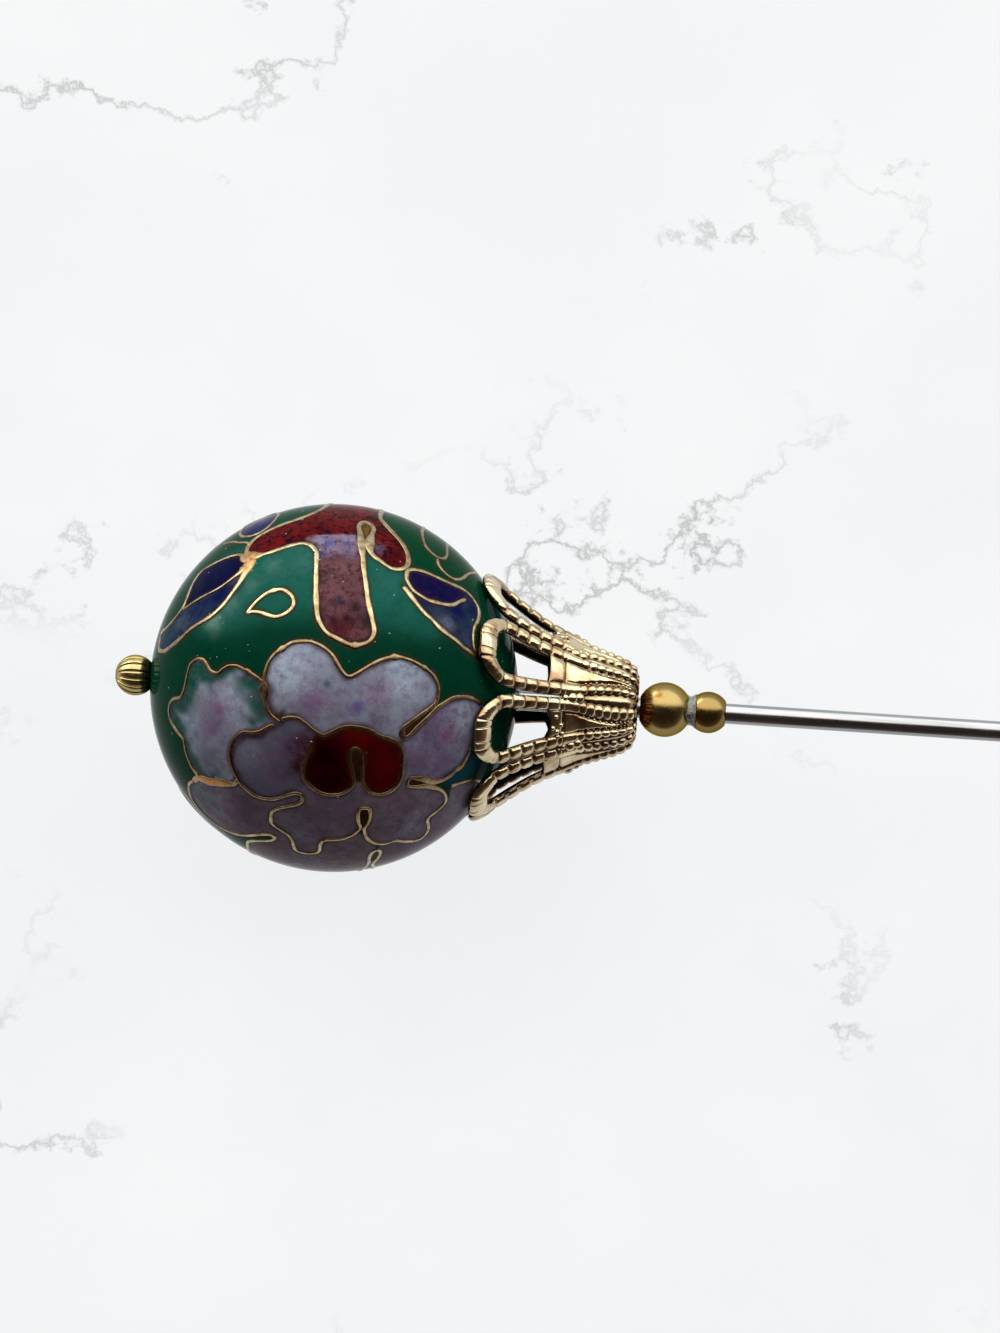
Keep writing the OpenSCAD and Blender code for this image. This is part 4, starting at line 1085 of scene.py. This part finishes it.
# Shares across half a gap and across a window where the cone has a column, and its rows outside and inside
ACROSS_GAP = np.array([0.0, 0.35, 0.7])
ACROSS_WINDOW = np.linspace(-1, 1, 13)[1:-1]
CONE_ROWS = np.linspace(0, BASE_ROW, 110)
INSIDE_ROWS = np.linspace(0, BASE_ROW, 15)
# Distances between the joints of the strands' sides, the nicks round their tips and the beads of the ribs
SEGMENT = 0.65
NICK_PITCH = 0.42
BEAD_PITCH = 0.47
# Where the beaded sides begin and end and the nicked tip begins, in mm along the strand from its foot
SIDE_BEGINS = (0.1, 0.3)
SIDE_ENDS = (3.4, 4.0)
TIP_BEGINS = (3.6, 4.0)
# How far the plates under the windows run down the cone
PLATE_RUN = 3.4
# Where each loop's two ribs begin and end at the small end, as shares of the loop's turn from its middle.
# The two loops that face the viewer run down unevenly.
RIB_ENDS = [(-0.37, -0.13, 0.13, 0.37)] * LOOPS
RIB_ENDS[0] = (-0.36, 0.02, 0.25, 0.45)
RIB_ENDS[7] = (-0.45, -0.25, 0.09, 0.31)


def rounded(share, joint):
    """Height of a half-round strand, as a share of its crown, that drops all round where joint is above 0"""
    return 0.22 + 0.78 * np.sqrt(np.clip(1 - np.abs(share) ** 2.1 - joint, 0, 1))


def along_segment(length, pitch):
    """Place along a segment of a given pitch, from -1 at one joint through 0 to 1 at the next"""
    return (length / pitch) % 1 * 2 - 1


def strand_lifts(length, total, share):
    """Lift of the strand's outside and how deep it lies in a joint"""
    foot = np.minimum(length, total - length)
    in_side = step_up(foot, *SIDE_BEGINS) * (1 - step_up(foot, *SIDE_ENDS))
    in_tip = step_up(foot, *TIP_BEGINS)
    nick = np.clip(0.25 + 0.35 * np.sin(5.3 * foot + 1.2), 0, 1)
    joint = in_side * 0.75 * along_segment(foot - 0.2, SEGMENT) ** 4
    joint = joint + in_tip * nick * along_segment(foot, NICK_PITCH) ** 8
    return CROWN * (1 + 0.2 * in_tip) * rounded(share, joint), joint


def rib_blend(row):
    """How far the ribs have moved from the loops' feet to their places at the small end, from 0 to 1"""
    return step_up((BASE_ROW - row) / BASE_ROW, 0.0, 0.55)


def window_turns(row, loop, half_window):
    """Turns of both sides of the valley under a window, from the loop's middle"""
    blend = rib_blend(row)
    return [side * half_window * (1 - blend) + LOOP_TURN * end * blend
            for side, end in zip((-1, 1), RIB_ENDS[loop][1:3])]


def strand_section():
    """Rows, turns, lifts and tones round the strand of a loop, all along it"""
    line, angle, side_of, length = strand_line()
    half = (STRAND_W + (STRAND_TIP_W - STRAND_W) * np.sin(angle)) / 2
    out = np.stack([np.cos(angle) * side_of, -np.sin(angle)], axis=1)
    spots = line[:, None] + (half[:, None] * ROUND)[..., None] * out[:, None]
    rows = row_at(spots[..., 1])
    turns = spots[..., 0] / sheet_row(rows)[..., 1]
    lifts, deep = strand_lifts(length[:, None], length[-1], ACROSS)
    # Joints are darkened by tarnish; the darker edges of the strand are tarnish and painted contact shade
    outside_tarnish_and_edge_shade = np.clip(0.9 * deep + 0.5 * np.abs(ACROSS) ** 6, 0, 1)
    lifts = np.hstack([lifts, np.tile(DEPTHS, (len(line), 1))])
    tones = np.hstack([outside_tarnish_and_edge_shade, np.full((len(line), len(DEPTHS)), STRAND_INSIDE_TONE)])
    return rows, turns, lifts, tones


def cone_columns(feet):
    """Columns of one loop's part of the cone, for the turns of the points across its feet

    Gives their turns at the cone's edge and, for each loop, at its small end, then their share of the
    rib's half width, which is nan beside a rib, and how near the middle of a valley they lie.
    """
    half_window, half_gap = feet[-1], LOOP_TURN / 2 - feet[0]
    # half the gap, one rib, the window, the other rib and half the gap
    base = np.concatenate([-LOOP_TURN / 2 + half_gap * ACROSS_GAP, -feet, half_window * ACROSS_WINDOW,
                           feet[::-1], LOOP_TURN / 2 - half_gap * ACROSS_GAP[:0:-1]])
    across_rib = (1 - ACROSS) / 2
    ends = LOOP_TURN * np.array([np.concatenate([
        -0.5 + (a + 0.5) * ACROSS_GAP, a + (b - a) * across_rib, (b + c + (c - b) * ACROSS_WINDOW) / 2,
        c + (d - c) * across_rib, 0.5 - (0.5 - d) * ACROSS_GAP[:0:-1]]) for a, b, c, d in RIB_ENDS])
    no_rib, on_rib = np.full(len(ACROSS_WINDOW), np.nan), np.zeros(len(ACROSS))
    shares = np.concatenate([no_rib[:3], ACROSS, no_rib, ACROSS[::-1], no_rib[:2]])
    middle = np.concatenate([1 - ACROSS_GAP, on_rib, ACROSS_WINDOW, on_rib, 1 - ACROSS_GAP[:0:-1]])
    return base, ends, shares, middle


def add_cone(points, tones, faces, feet):
    """Ribs and valleys between the loops' feet and the small end, over a plain inside"""
    base, ends, shares, middle = cone_columns(feet)
    count = len(base) * LOOPS
    line = sheet_row(CONE_ROWS)
    place_along = np.concatenate([[0], np.cumsum(np.linalg.norm(np.diff(line, axis=0), axis=1))])
    down = (place_along[-1] - place_along)[:, None]
    blend = rib_blend(CONE_ROWS)[:, None, None]
    all_turns = base * (1 - blend) + ends * blend + CAP_TURN + LOOP_TURN * np.arange(LOOPS)[:, None]
    all_turns = all_turns.reshape(len(CONE_ROWS), count)

    in_rib = np.isfinite(shares)
    in_window = ~in_rib & (np.abs(base) < feet[-1])
    joint = 0.75 * step_up(down, 0.7, 1.2) * along_segment(down, BEAD_PITCH) ** 2
    rib = rounded(np.where(in_rib, shares, 0), joint)

    # A smooth plate tapers down the valley under each window, and a low smooth band runs down between loops
    taper = np.clip(1.05 - down / PLATE_RUN, 0, 1)
    plate = step_up(taper - np.abs(middle), -0.12, 0.05) * (1 - 0.75 * np.clip(1 - down / 0.12, 0, 1))
    band = step_up(down, 0.7, 1.6) * np.clip(middle * 1.6, 0, 1)
    height = np.where(in_rib, rib, np.where(in_window, 0.1 + 0.42 * plate, 0.1 + 0.34 * band))
    # the relief fades out on the last two rows before the small end
    relief = np.minimum(1, CONE_ROWS / 2.0)[:, None]
    lift = CROWN * (0.5 + (height - 0.5) * relief)
    rib_tone = np.clip(1.3 - 1.6 * rib, 0, 0.9)
    valley_tone = np.where(in_window, 0.85 - 0.8 * plate, 0.95 - 0.7 * band)
    cone_tone = np.clip(np.where(in_rib, rib_tone, valley_tone), 0, 1)
    rows = np.repeat(CONE_ROWS[:, None], count, 1)
    points.append(on_sheet(rows, all_turns, np.tile(lift, (1, LOOPS))).reshape(-1, 3))
    tones.append(np.tile(cone_tone, (1, LOOPS)).ravel())
    faces += grid_faces(len(CONE_ROWS), count, flip=True)

    inside_start = rows.size
    keep = np.searchsorted(CONE_ROWS, INSIDE_ROWS - 1e-6).clip(0, len(CONE_ROWS) - 1)
    depth = np.full((len(keep), count), -INSIDE * 0.8)
    points.append(on_sheet(rows[keep], all_turns[keep], depth).reshape(-1, 3))
    tones.append(np.full(len(keep) * count, INSIDE_TONE))
    faces += grid_faces(len(keep), count, inside_start)
    rim, inside_rim = inside_start - count, inside_start + (len(keep) - 1) * count
    for c in range(count):
        n = (c + 1) % count
        faces.append((c, n, inside_start + n, inside_start + c))
        faces.append((rim + n, rim + c, inside_rim + c, inside_rim + n))
    return inside_start + len(keep) * count


def make_cap():
    """The pierced cap: the ribbed cone, its loops, the plates in their feet and the granules"""
    rows, turns, lifts, strand_tones = strand_section()
    feet = np.abs(turns[0, :len(ACROSS)])
    points, tones, faces = [], [], []
    start = add_cone(points, tones, faces, feet)
    for loop in range(LOOPS):
        points.append(on_sheet(rows, CAP_TURN + LOOP_TURN * loop + turns, lifts).reshape(-1, 3))
        tones.append(strand_tones.ravel())
        faces += grid_faces(*rows.shape, start, flip=True, capped=True)
        start += rows.size
    start = add_plates(points, tones, faces, start)
    add_granules(points, tones, faces, start, feet[-1])
    piece = make_piece("filigree_cap", np.concatenate(points), faces, pale_gold_material(),
                       {"tone": tone_colours(np.concatenate(tones))})
    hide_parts("cone_cap")


# A plate closes each window's foot, from the cone's edge to this place along the pin
PLATE_AT = 11.5
# It reaches this far under the strands and, in rows, under the cone's edge
UNDER_STRAND = 0.12
UNDER_EDGE = 0.06


def add_plates(points, tones, faces, start):
    """Flat plates between the feet of each loop, with a hollowed free edge"""
    # closer together at the edges
    shares = np.cos(np.linspace(math.pi, 0, 15))
    steps = (1 - np.cos(np.linspace(0, math.pi, 12)[:, None])) / 2
    wide, grid = len(shares), len(shares) * len(steps)
    for loop in range(LOOPS):
        free = PLATE_AT + (0.28 if loop % 3 == 0 else 0.08) * (1 - shares ** 2)
        at = BASE_AT + (free - BASE_AT) * steps
        rows = row_at(at)
        half = strand_x(at) - STRAND_W / 2 + UNDER_STRAND
        turn = CAP_TURN + LOOP_TURN * loop + half * shares / sheet_row(rows)[..., 1]
        rows[0] -= UNDER_EDGE
        pillow = np.sqrt(np.clip(1 - np.abs(shares) ** 3, 0, 1) * np.clip(1 - (2 * steps - 1) ** 4, 0, 1))
        points.append(on_sheet(rows, turn, CROWN * (0.05 + 0.45 * pillow)).reshape(-1, 3))
        points.append(on_sheet(rows, turn, np.full(rows.shape, -INSIDE * 0.7)).reshape(-1, 3))
        tones += [(INSIDE_TONE - 0.8 * pillow).ravel(), np.full(grid, INSIDE_TONE)]
        faces += grid_faces(len(steps), wide, start, flip=True, ring=False)
        faces += grid_faces(len(steps), wide, start + grid, ring=False)
        for i in range(len(steps) - 1):
            row, after = start + i * wide, start + (i + 1) * wide
            faces.append((row, row + grid, after + grid, after))
            row, after = row + wide - 1, after + wide - 1
            faces.append((row, after, after + grid, row + grid))
        foot = start + (len(steps) - 1) * wide
        for k in range(wide - 1):
            faces.append((start + k, start + k + 1, start + grid + k + 1, start + grid + k))
            faces.append((foot + k, foot + grid + k, foot + grid + k + 1, foot + k + 1))
        start += 2 * grid
    return start


# Soldered granules between the loops' feet, each with its row of the sheet, radius and lift
JOINT_GRANULES = [(6.5, 0.33, 0.1), (5.95, 0.3, 0.1), (6.95, 0.2, 0.12)]
# Granules on the plate of every third window, each with its place along the pin, degrees and radius
PLATE_GRANULES = [
    (11.85, 2.5, 0.15), (12.1, 6.5, 0.16), (12.3, 1.0, 0.14), (12.39, 9.0, 0.15), (12.2, 12.0, 0.15),
    (11.45, 13.5, 0.17), (12.0, -6.0, 0.13),
]
# Rows of the tiny granules on both sides of the plate under each window, with their radius and lift
VALLEY_ROWS = np.arange(5.6, 2.2, -0.36)
VALLEY_GRANULE = (0.085, 0.03)
PLATE_GRANULE_LIFT = 0.1
# How far granules stray, in rows and half radians, and the range of their sizes
STRAY = 0.03
GRANULE_SIZES = (0.88, 1.08)


def add_granules(points, tones, faces, start, half_window):
    """Half-sunk balls of solder at the feet of the loops, on the plates and down the valleys"""
    spots = []
    for loop in range(LOOPS):
        turn = CAP_TURN + LOOP_TURN * loop
        spots += [(row, turn + LOOP_TURN / 2, radius, lift) for row, radius, lift in JOINT_GRANULES]
        if loop % 3 == 0:
            spots += [(row_at(at), turn + math.radians(offset), radius, PLATE_GRANULE_LIFT)
                      for at, offset, radius in PLATE_GRANULES]
        for row in VALLEY_ROWS:
            low, high = window_turns(row, loop, half_window)
            inset = (0.12 + 0.05 * (VALLEY_ROWS[0] - row)) * (high - low)
            spots += [(row, turn + offset, *VALLEY_GRANULE) for offset in (low + inset, high - inset)]
    for row, turn, radius, lift in spots:
        jitter = random.uniform(-STRAY, STRAY, 2)
        middle = on_sheet(np.array(row + jitter[0]), np.array(turn + jitter[1] / 2), np.array(lift))
        ball_points, ball_faces = small_ball(radius * random.uniform(*GRANULE_SIZES))
        points.append(ball_points + middle)
        tones.append(np.full(len(ball_points), GRANULE_TONE))
        faces += [tuple(start + i for i in face) for face in ball_faces]
        start += len(ball_points)


def small_ball(radius, segments=12, rings=7):
    """Points and faces of a ball about 0"""
    points = [(0, 0, -radius)]
    for r in range(1, rings):
        lat = -math.pi / 2 + math.pi * r / rings
        for k in range(segments):
            turn = 2 * math.pi * k / segments
            points.append((radius * math.cos(lat) * math.cos(turn), radius * math.cos(lat) * math.sin(turn),
                           radius * math.sin(lat)))
    points.append((0, 0, radius))
    faces = grid_faces(rings - 1, segments, 1)
    for k in range(segments):
        n = (k + 1) % segments
        faces.append((0, 1 + n, 1 + k))
        top = 1 + (rings - 2) * segments
        faces.append((top + k, top + n, top + segments))
    return np.array(points), faces


# Ribbed end bead

RIBS = 15
GROOVE = 0.1
# The grooves fade out towards this latitude at both ends, and between these two at the free end's rim
RIB_POLE = 80
SMOOTH_RIM = (58, 66)


def make_end_bead():
    """The ribbed bead with a smooth rim at the free end"""
    lats = np.linspace(-RIB_POLE, RIB_POLE, 49)
    steps = RIBS * 16
    turns = np.arange(steps) * 2 * math.pi / steps
    fade = 1 - (np.abs(lats) / RIB_POLE) ** 4
    fade *= 1 - step_up(-lats, *SMOOTH_RIM)
    groove = (1 - np.abs(np.cos(RIBS * turns / 2))) ** 4
    radius = END_R - GROOVE * groove[None, :] * fade[:, None]
    lat = np.radians(lats)[:, None]
    points = np.stack([radius * np.cos(lat) * np.cos(turns), radius * np.cos(lat) * np.sin(turns),
                       END_AT + radius * np.sin(lat)], axis=-1).reshape(-1, 3)
    tone = (groove[None, :] * fade[:, None]).ravel() * 0.8
    faces = grid_faces(len(lats), steps, capped=True)
    material = brass_material("ribbed_brass", (172, 156, 108), (60, 32, 10), stain=(138, 112, 58))
    piece = make_piece("ribbed_end_bead", points, faces, material, {"tone": tone_colours(tone)})
    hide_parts("end_bead")


# Plain beads, glue and shaft

# Radius of a bead's bore, and the radius and length of the chamfer at its edges
BORE_WALL_R = BORE_R + 0.005
BORE_EDGE_R = BORE_R + 0.05
BORE_CHAMFER = 0.04


def make_bead(name, node, radius, at, clean):
    """Plain drilled bead, tarnished orange on the side of the cap"""
    rim = math.degrees(math.acos(BORE_EDGE_R / radius))
    profile = arc(radius, at, -rim, rim, 40)
    wall = math.sqrt(radius ** 2 - BORE_EDGE_R ** 2) - BORE_CHAMFER
    profile += [(BORE_WALL_R, at + wall), (BORE_WALL_R, at - wall)]
    points, faces = turned(profile, 72, closed=True)
    turns = np.arctan2(points[:, 1], points[:, 0])
    tone = 0.8 * step_up((at - points[:, 2]) / radius + 0.15 * np.sin(3 * turns + 0.6), 0.3, 0.85)
    material = brass_material(name + "_brass", clean, (120, 64, 14))
    piece = make_piece(name, points, faces, material, {"tone": tone_colours(tone)})
    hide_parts(node)


def half_bore(radius):
    """Half the length of a bead's bore"""
    return math.sqrt(radius ** 2 - BORE_R ** 2)


# The fillet's ends from where the beads meet, its radius there, how much narrower its middle is, and its core
GLUE_ENDS = (-0.32, 0.3)
GLUE_R = 0.95
GLUE_SAG = 0.16
GLUE_CORE = 0.12


def make_glue():
    """Clear fillet of glue in the groove between the two plain beads, with an uneven rim"""
    meet = (LARGE_AT + half_bore(LARGE_R) + SMALL_AT - half_bore(SMALL_R)) / 2
    profile = [(GLUE_R - GLUE_SAG * math.sin(math.pi * share), meet + at)
               for share, at in zip(np.linspace(0, 1, 9), np.linspace(*GLUE_ENDS, 9))]
    profile += [(BORE_R + GLUE_CORE, meet + GLUE_CORE), (BORE_R + GLUE_CORE, meet - GLUE_CORE)]
    points, faces = turned(profile, 48, closed=True)
    turns = np.arctan2(points[:, 1], points[:, 0])
    wave = 1 + 0.04 * np.sin(3 * turns + 1) + 0.03 * np.sin(7 * turns)
    points[:, :2] *= wave[:, None]
    make_piece("clear_glue", points, faces, glue_material())


# The shaft ends behind this wall of the end bead, and is thinner by this in the beads, up to just past them
END_WALL = 0.35
NARROWER = 0.02
PAST_BEADS = 0.3
END_CHAMFER = 0.05


def make_shaft():
    """The steel pin from the end bead to its blunted point"""
    start = END_AT - END_R + END_WALL + SEAT
    bare_from = SMALL_AT + half_bore(SMALL_R) + PAST_BEADS
    narrow = SHAFT_R - NARROWER
    shoulder = TIP_AT - POINT_LENGTH
    taper = POINT_LENGTH - TIP_R
    slope = (SHAFT_R - TIP_R) / taper
    profile = [(narrow - END_CHAMFER, start), (narrow, start + END_CHAMFER), (SHAFT_R, bare_from)]
    profile += [(SHAFT_R, at) for at in np.linspace(bare_from, shoulder, 9)[1:]]
    profile += [(SHAFT_R - slope * along, shoulder + along) for along in np.linspace(0.2, taper, 12)]
    profile += arc(TIP_R, TIP_AT - TIP_R, 15, 87, 6)
    points, faces = turned(profile, 64)
    piece = make_piece("steel_pin", rest_on_floor(points), faces, steel_material())
    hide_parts("pin_shaft")


# Floor, light and camera

# Half the table's width in metres, its reflectance and its own glow
FLOOR_HALF = 3.0
FLOOR_DIM = (0.06, 0.06, 0.06)
FLOOR_GLOW = 0.93


def make_floor():
    """White marble table with faint veins, lit from within so that it takes little shadow"""
    mesh = bpy.data.meshes.new("floor")
    corners = [(x * FLOOR_HALF, y * FLOOR_HALF, 0) for x, y in ((-1, -1), (1, -1), (1, 1), (-1, 1))]
    mesh.from_pydata(corners, [], [(0, 1, 2, 3)])
    material, tree, shader = new_material("white_marble")
    lines = ramp(tree, noise(tree, 0.02, 9, 0.62), [(0.494, 0.0), (0.5, 0.8), (0.506, 0.0)])
    patches = ramp(tree, noise(tree, 0.03, 3, 0.6, (1, 1.4, 1)), [(0.46, 0.0), (0.62, 1.0)])
    veins = times(tree, lines, patches)
    stone = ramp(tree, noise(tree, 0.05, 5), [(0.3, (0.86, 0.875, 0.89)), (0.7, (0.91, 0.92, 0.93))])
    veined = mix(tree, veins, stone, (0.42, 0.42, 0.43))
    feed(tree, shader, mix(tree, 1.0, veined, FLOOR_DIM, "MULTIPLY"))
    tree.links.new(veined, shader.inputs["Emission Color"])
    shader.inputs["Emission Strength"].default_value = FLOOR_GLOW
    shader.inputs["Roughness"].default_value = 0.6
    mesh.materials.append(material)
    floor = bpy.data.objects.new("floor", mesh)
    bpy.context.scene.collection.objects.link(floor)


# A low window, by its place from the ball and its width and height in metres
LOW_WINDOW_AT = Vector((-0.46, 0.4, 0.03))
LOW_WINDOW_SIZE = (0.5, 0.09)


def add_lamp(name, watts, gloss_only=False):
    """Light of the low window, which faces the ball and isn't seen itself"""
    data = bpy.data.lights.new(name, "AREA")
    data.shape = "RECTANGLE"
    data.size, data.size_y = LOW_WINDOW_SIZE
    data.energy = watts
    light = bpy.data.objects.new(name, data)
    light.location = CENTRE + LOW_WINDOW_AT
    light.rotation_euler = (-LOW_WINDOW_AT).to_track_quat("-Z", "Y").to_euler()
    light.visible_camera = False
    light.visible_diffuse = not gloss_only
    bpy.context.scene.collection.objects.link(light)


# The wide window takes all directions that lie this far to the side, softly edged
WINDOW_EDGE = (0.22, 0.4)
WINDOW_LIGHT = 3.3


def add_world():
    """Room with a wide bright window on one side, dim elsewhere and darkest overhead"""
    world = bpy.data.worlds.new("room")
    world.use_nodes = True
    tree = world.node_tree
    direction = add(tree, "ShaderNodeSeparateXYZ")
    tree.links.new(add(tree, "ShaderNodeTexCoord").outputs["Generated"], direction.inputs[0])
    window = ramp(tree, direction.outputs["Y"], [(WINDOW_EDGE[0], 0.0), (WINDOW_EDGE[1], 1.0)])
    glass = ramp(tree, direction.outputs["Z"], [(0.0, (0.9, 0.98, 0.94)), (0.9, (1.0, 0.93, 0.88))])
    walls = ramp(tree, direction.outputs["Z"], [(0.0, (0.22, 0.165, 0.13)), (0.5, (0.075, 0.05, 0.04)),
                                                (0.9, (0.045, 0.04, 0.036))])
    bright = mix(tree, 1.0, glass, (WINDOW_LIGHT, WINDOW_LIGHT, WINDOW_LIGHT), "MULTIPLY")
    background = tree.nodes["Background"]
    tree.links.new(mix(tree, window, walls, bright), background.inputs["Color"])
    bpy.context.scene.world = world


# The photograph is 1000 pixels wide and 1333 high. The ball's centre stands at BALL_PIXEL in it.
FRAME_PIXELS = (1000, 1333)
BALL_PIXEL = (334, 688)
PIXELS_PER_MM = 18.5
PIN_SLOPE = math.radians(3.74)
# So far away, in mm, that the view is all but parallel
DISTANCE = 1000


def add_camera():
    """Camera that looks square down on the pin, rolled by its slope in the photograph"""
    right = AXIS * math.cos(PIN_SLOPE) + SIDE * math.sin(PIN_SLOPE)
    top = SIDE * math.cos(PIN_SLOPE) - AXIS * math.sin(PIN_SLOPE)
    across_mm = (FRAME_PIXELS[0] / 2 - BALL_PIXEL[0]) / PIXELS_PER_MM
    up_mm = (BALL_PIXEL[1] - FRAME_PIXELS[1] / 2) / PIXELS_PER_MM
    data = bpy.data.cameras.new("camera")
    data.sensor_fit = "AUTO"
    data.lens = data.sensor_width * DISTANCE / (FRAME_PIXELS[1] / PIXELS_PER_MM)
    data.clip_start = 0.01
    data.clip_end = 10
    camera = bpy.data.objects.new("camera", data)
    where = CENTRE + (right * across_mm + top * up_mm + UP * DISTANCE) * MM
    camera.matrix_world = Matrix.Translation(where) @ Matrix((right, top, UP)).transposed().to_4x4()
    bpy.context.scene.collection.objects.link(camera)
    bpy.context.scene.camera = camera


add_camera()
make_floor()
add_world()
add_lamp("low_window_glare", 1.1)
add_lamp("low_window_gleam", 2.2, gloss_only=True)

make_enamel()
make_wires()
make_cap()
make_end_bead()
make_bead("large_brass_bead", "large_bead", LARGE_R, LARGE_AT, (142, 123, 78))
make_bead("small_brass_bead", "small_bead", SMALL_R, SMALL_AT, (128, 108, 66))
make_glue()
make_shaft()

# The copper ball keeps its CAD mesh
core = frame["nodes"]["copper_core"]
core.data.materials.clear()
core.data.materials.append(copper_material())

bpy.context.scene.view_settings.view_transform = "Standard"
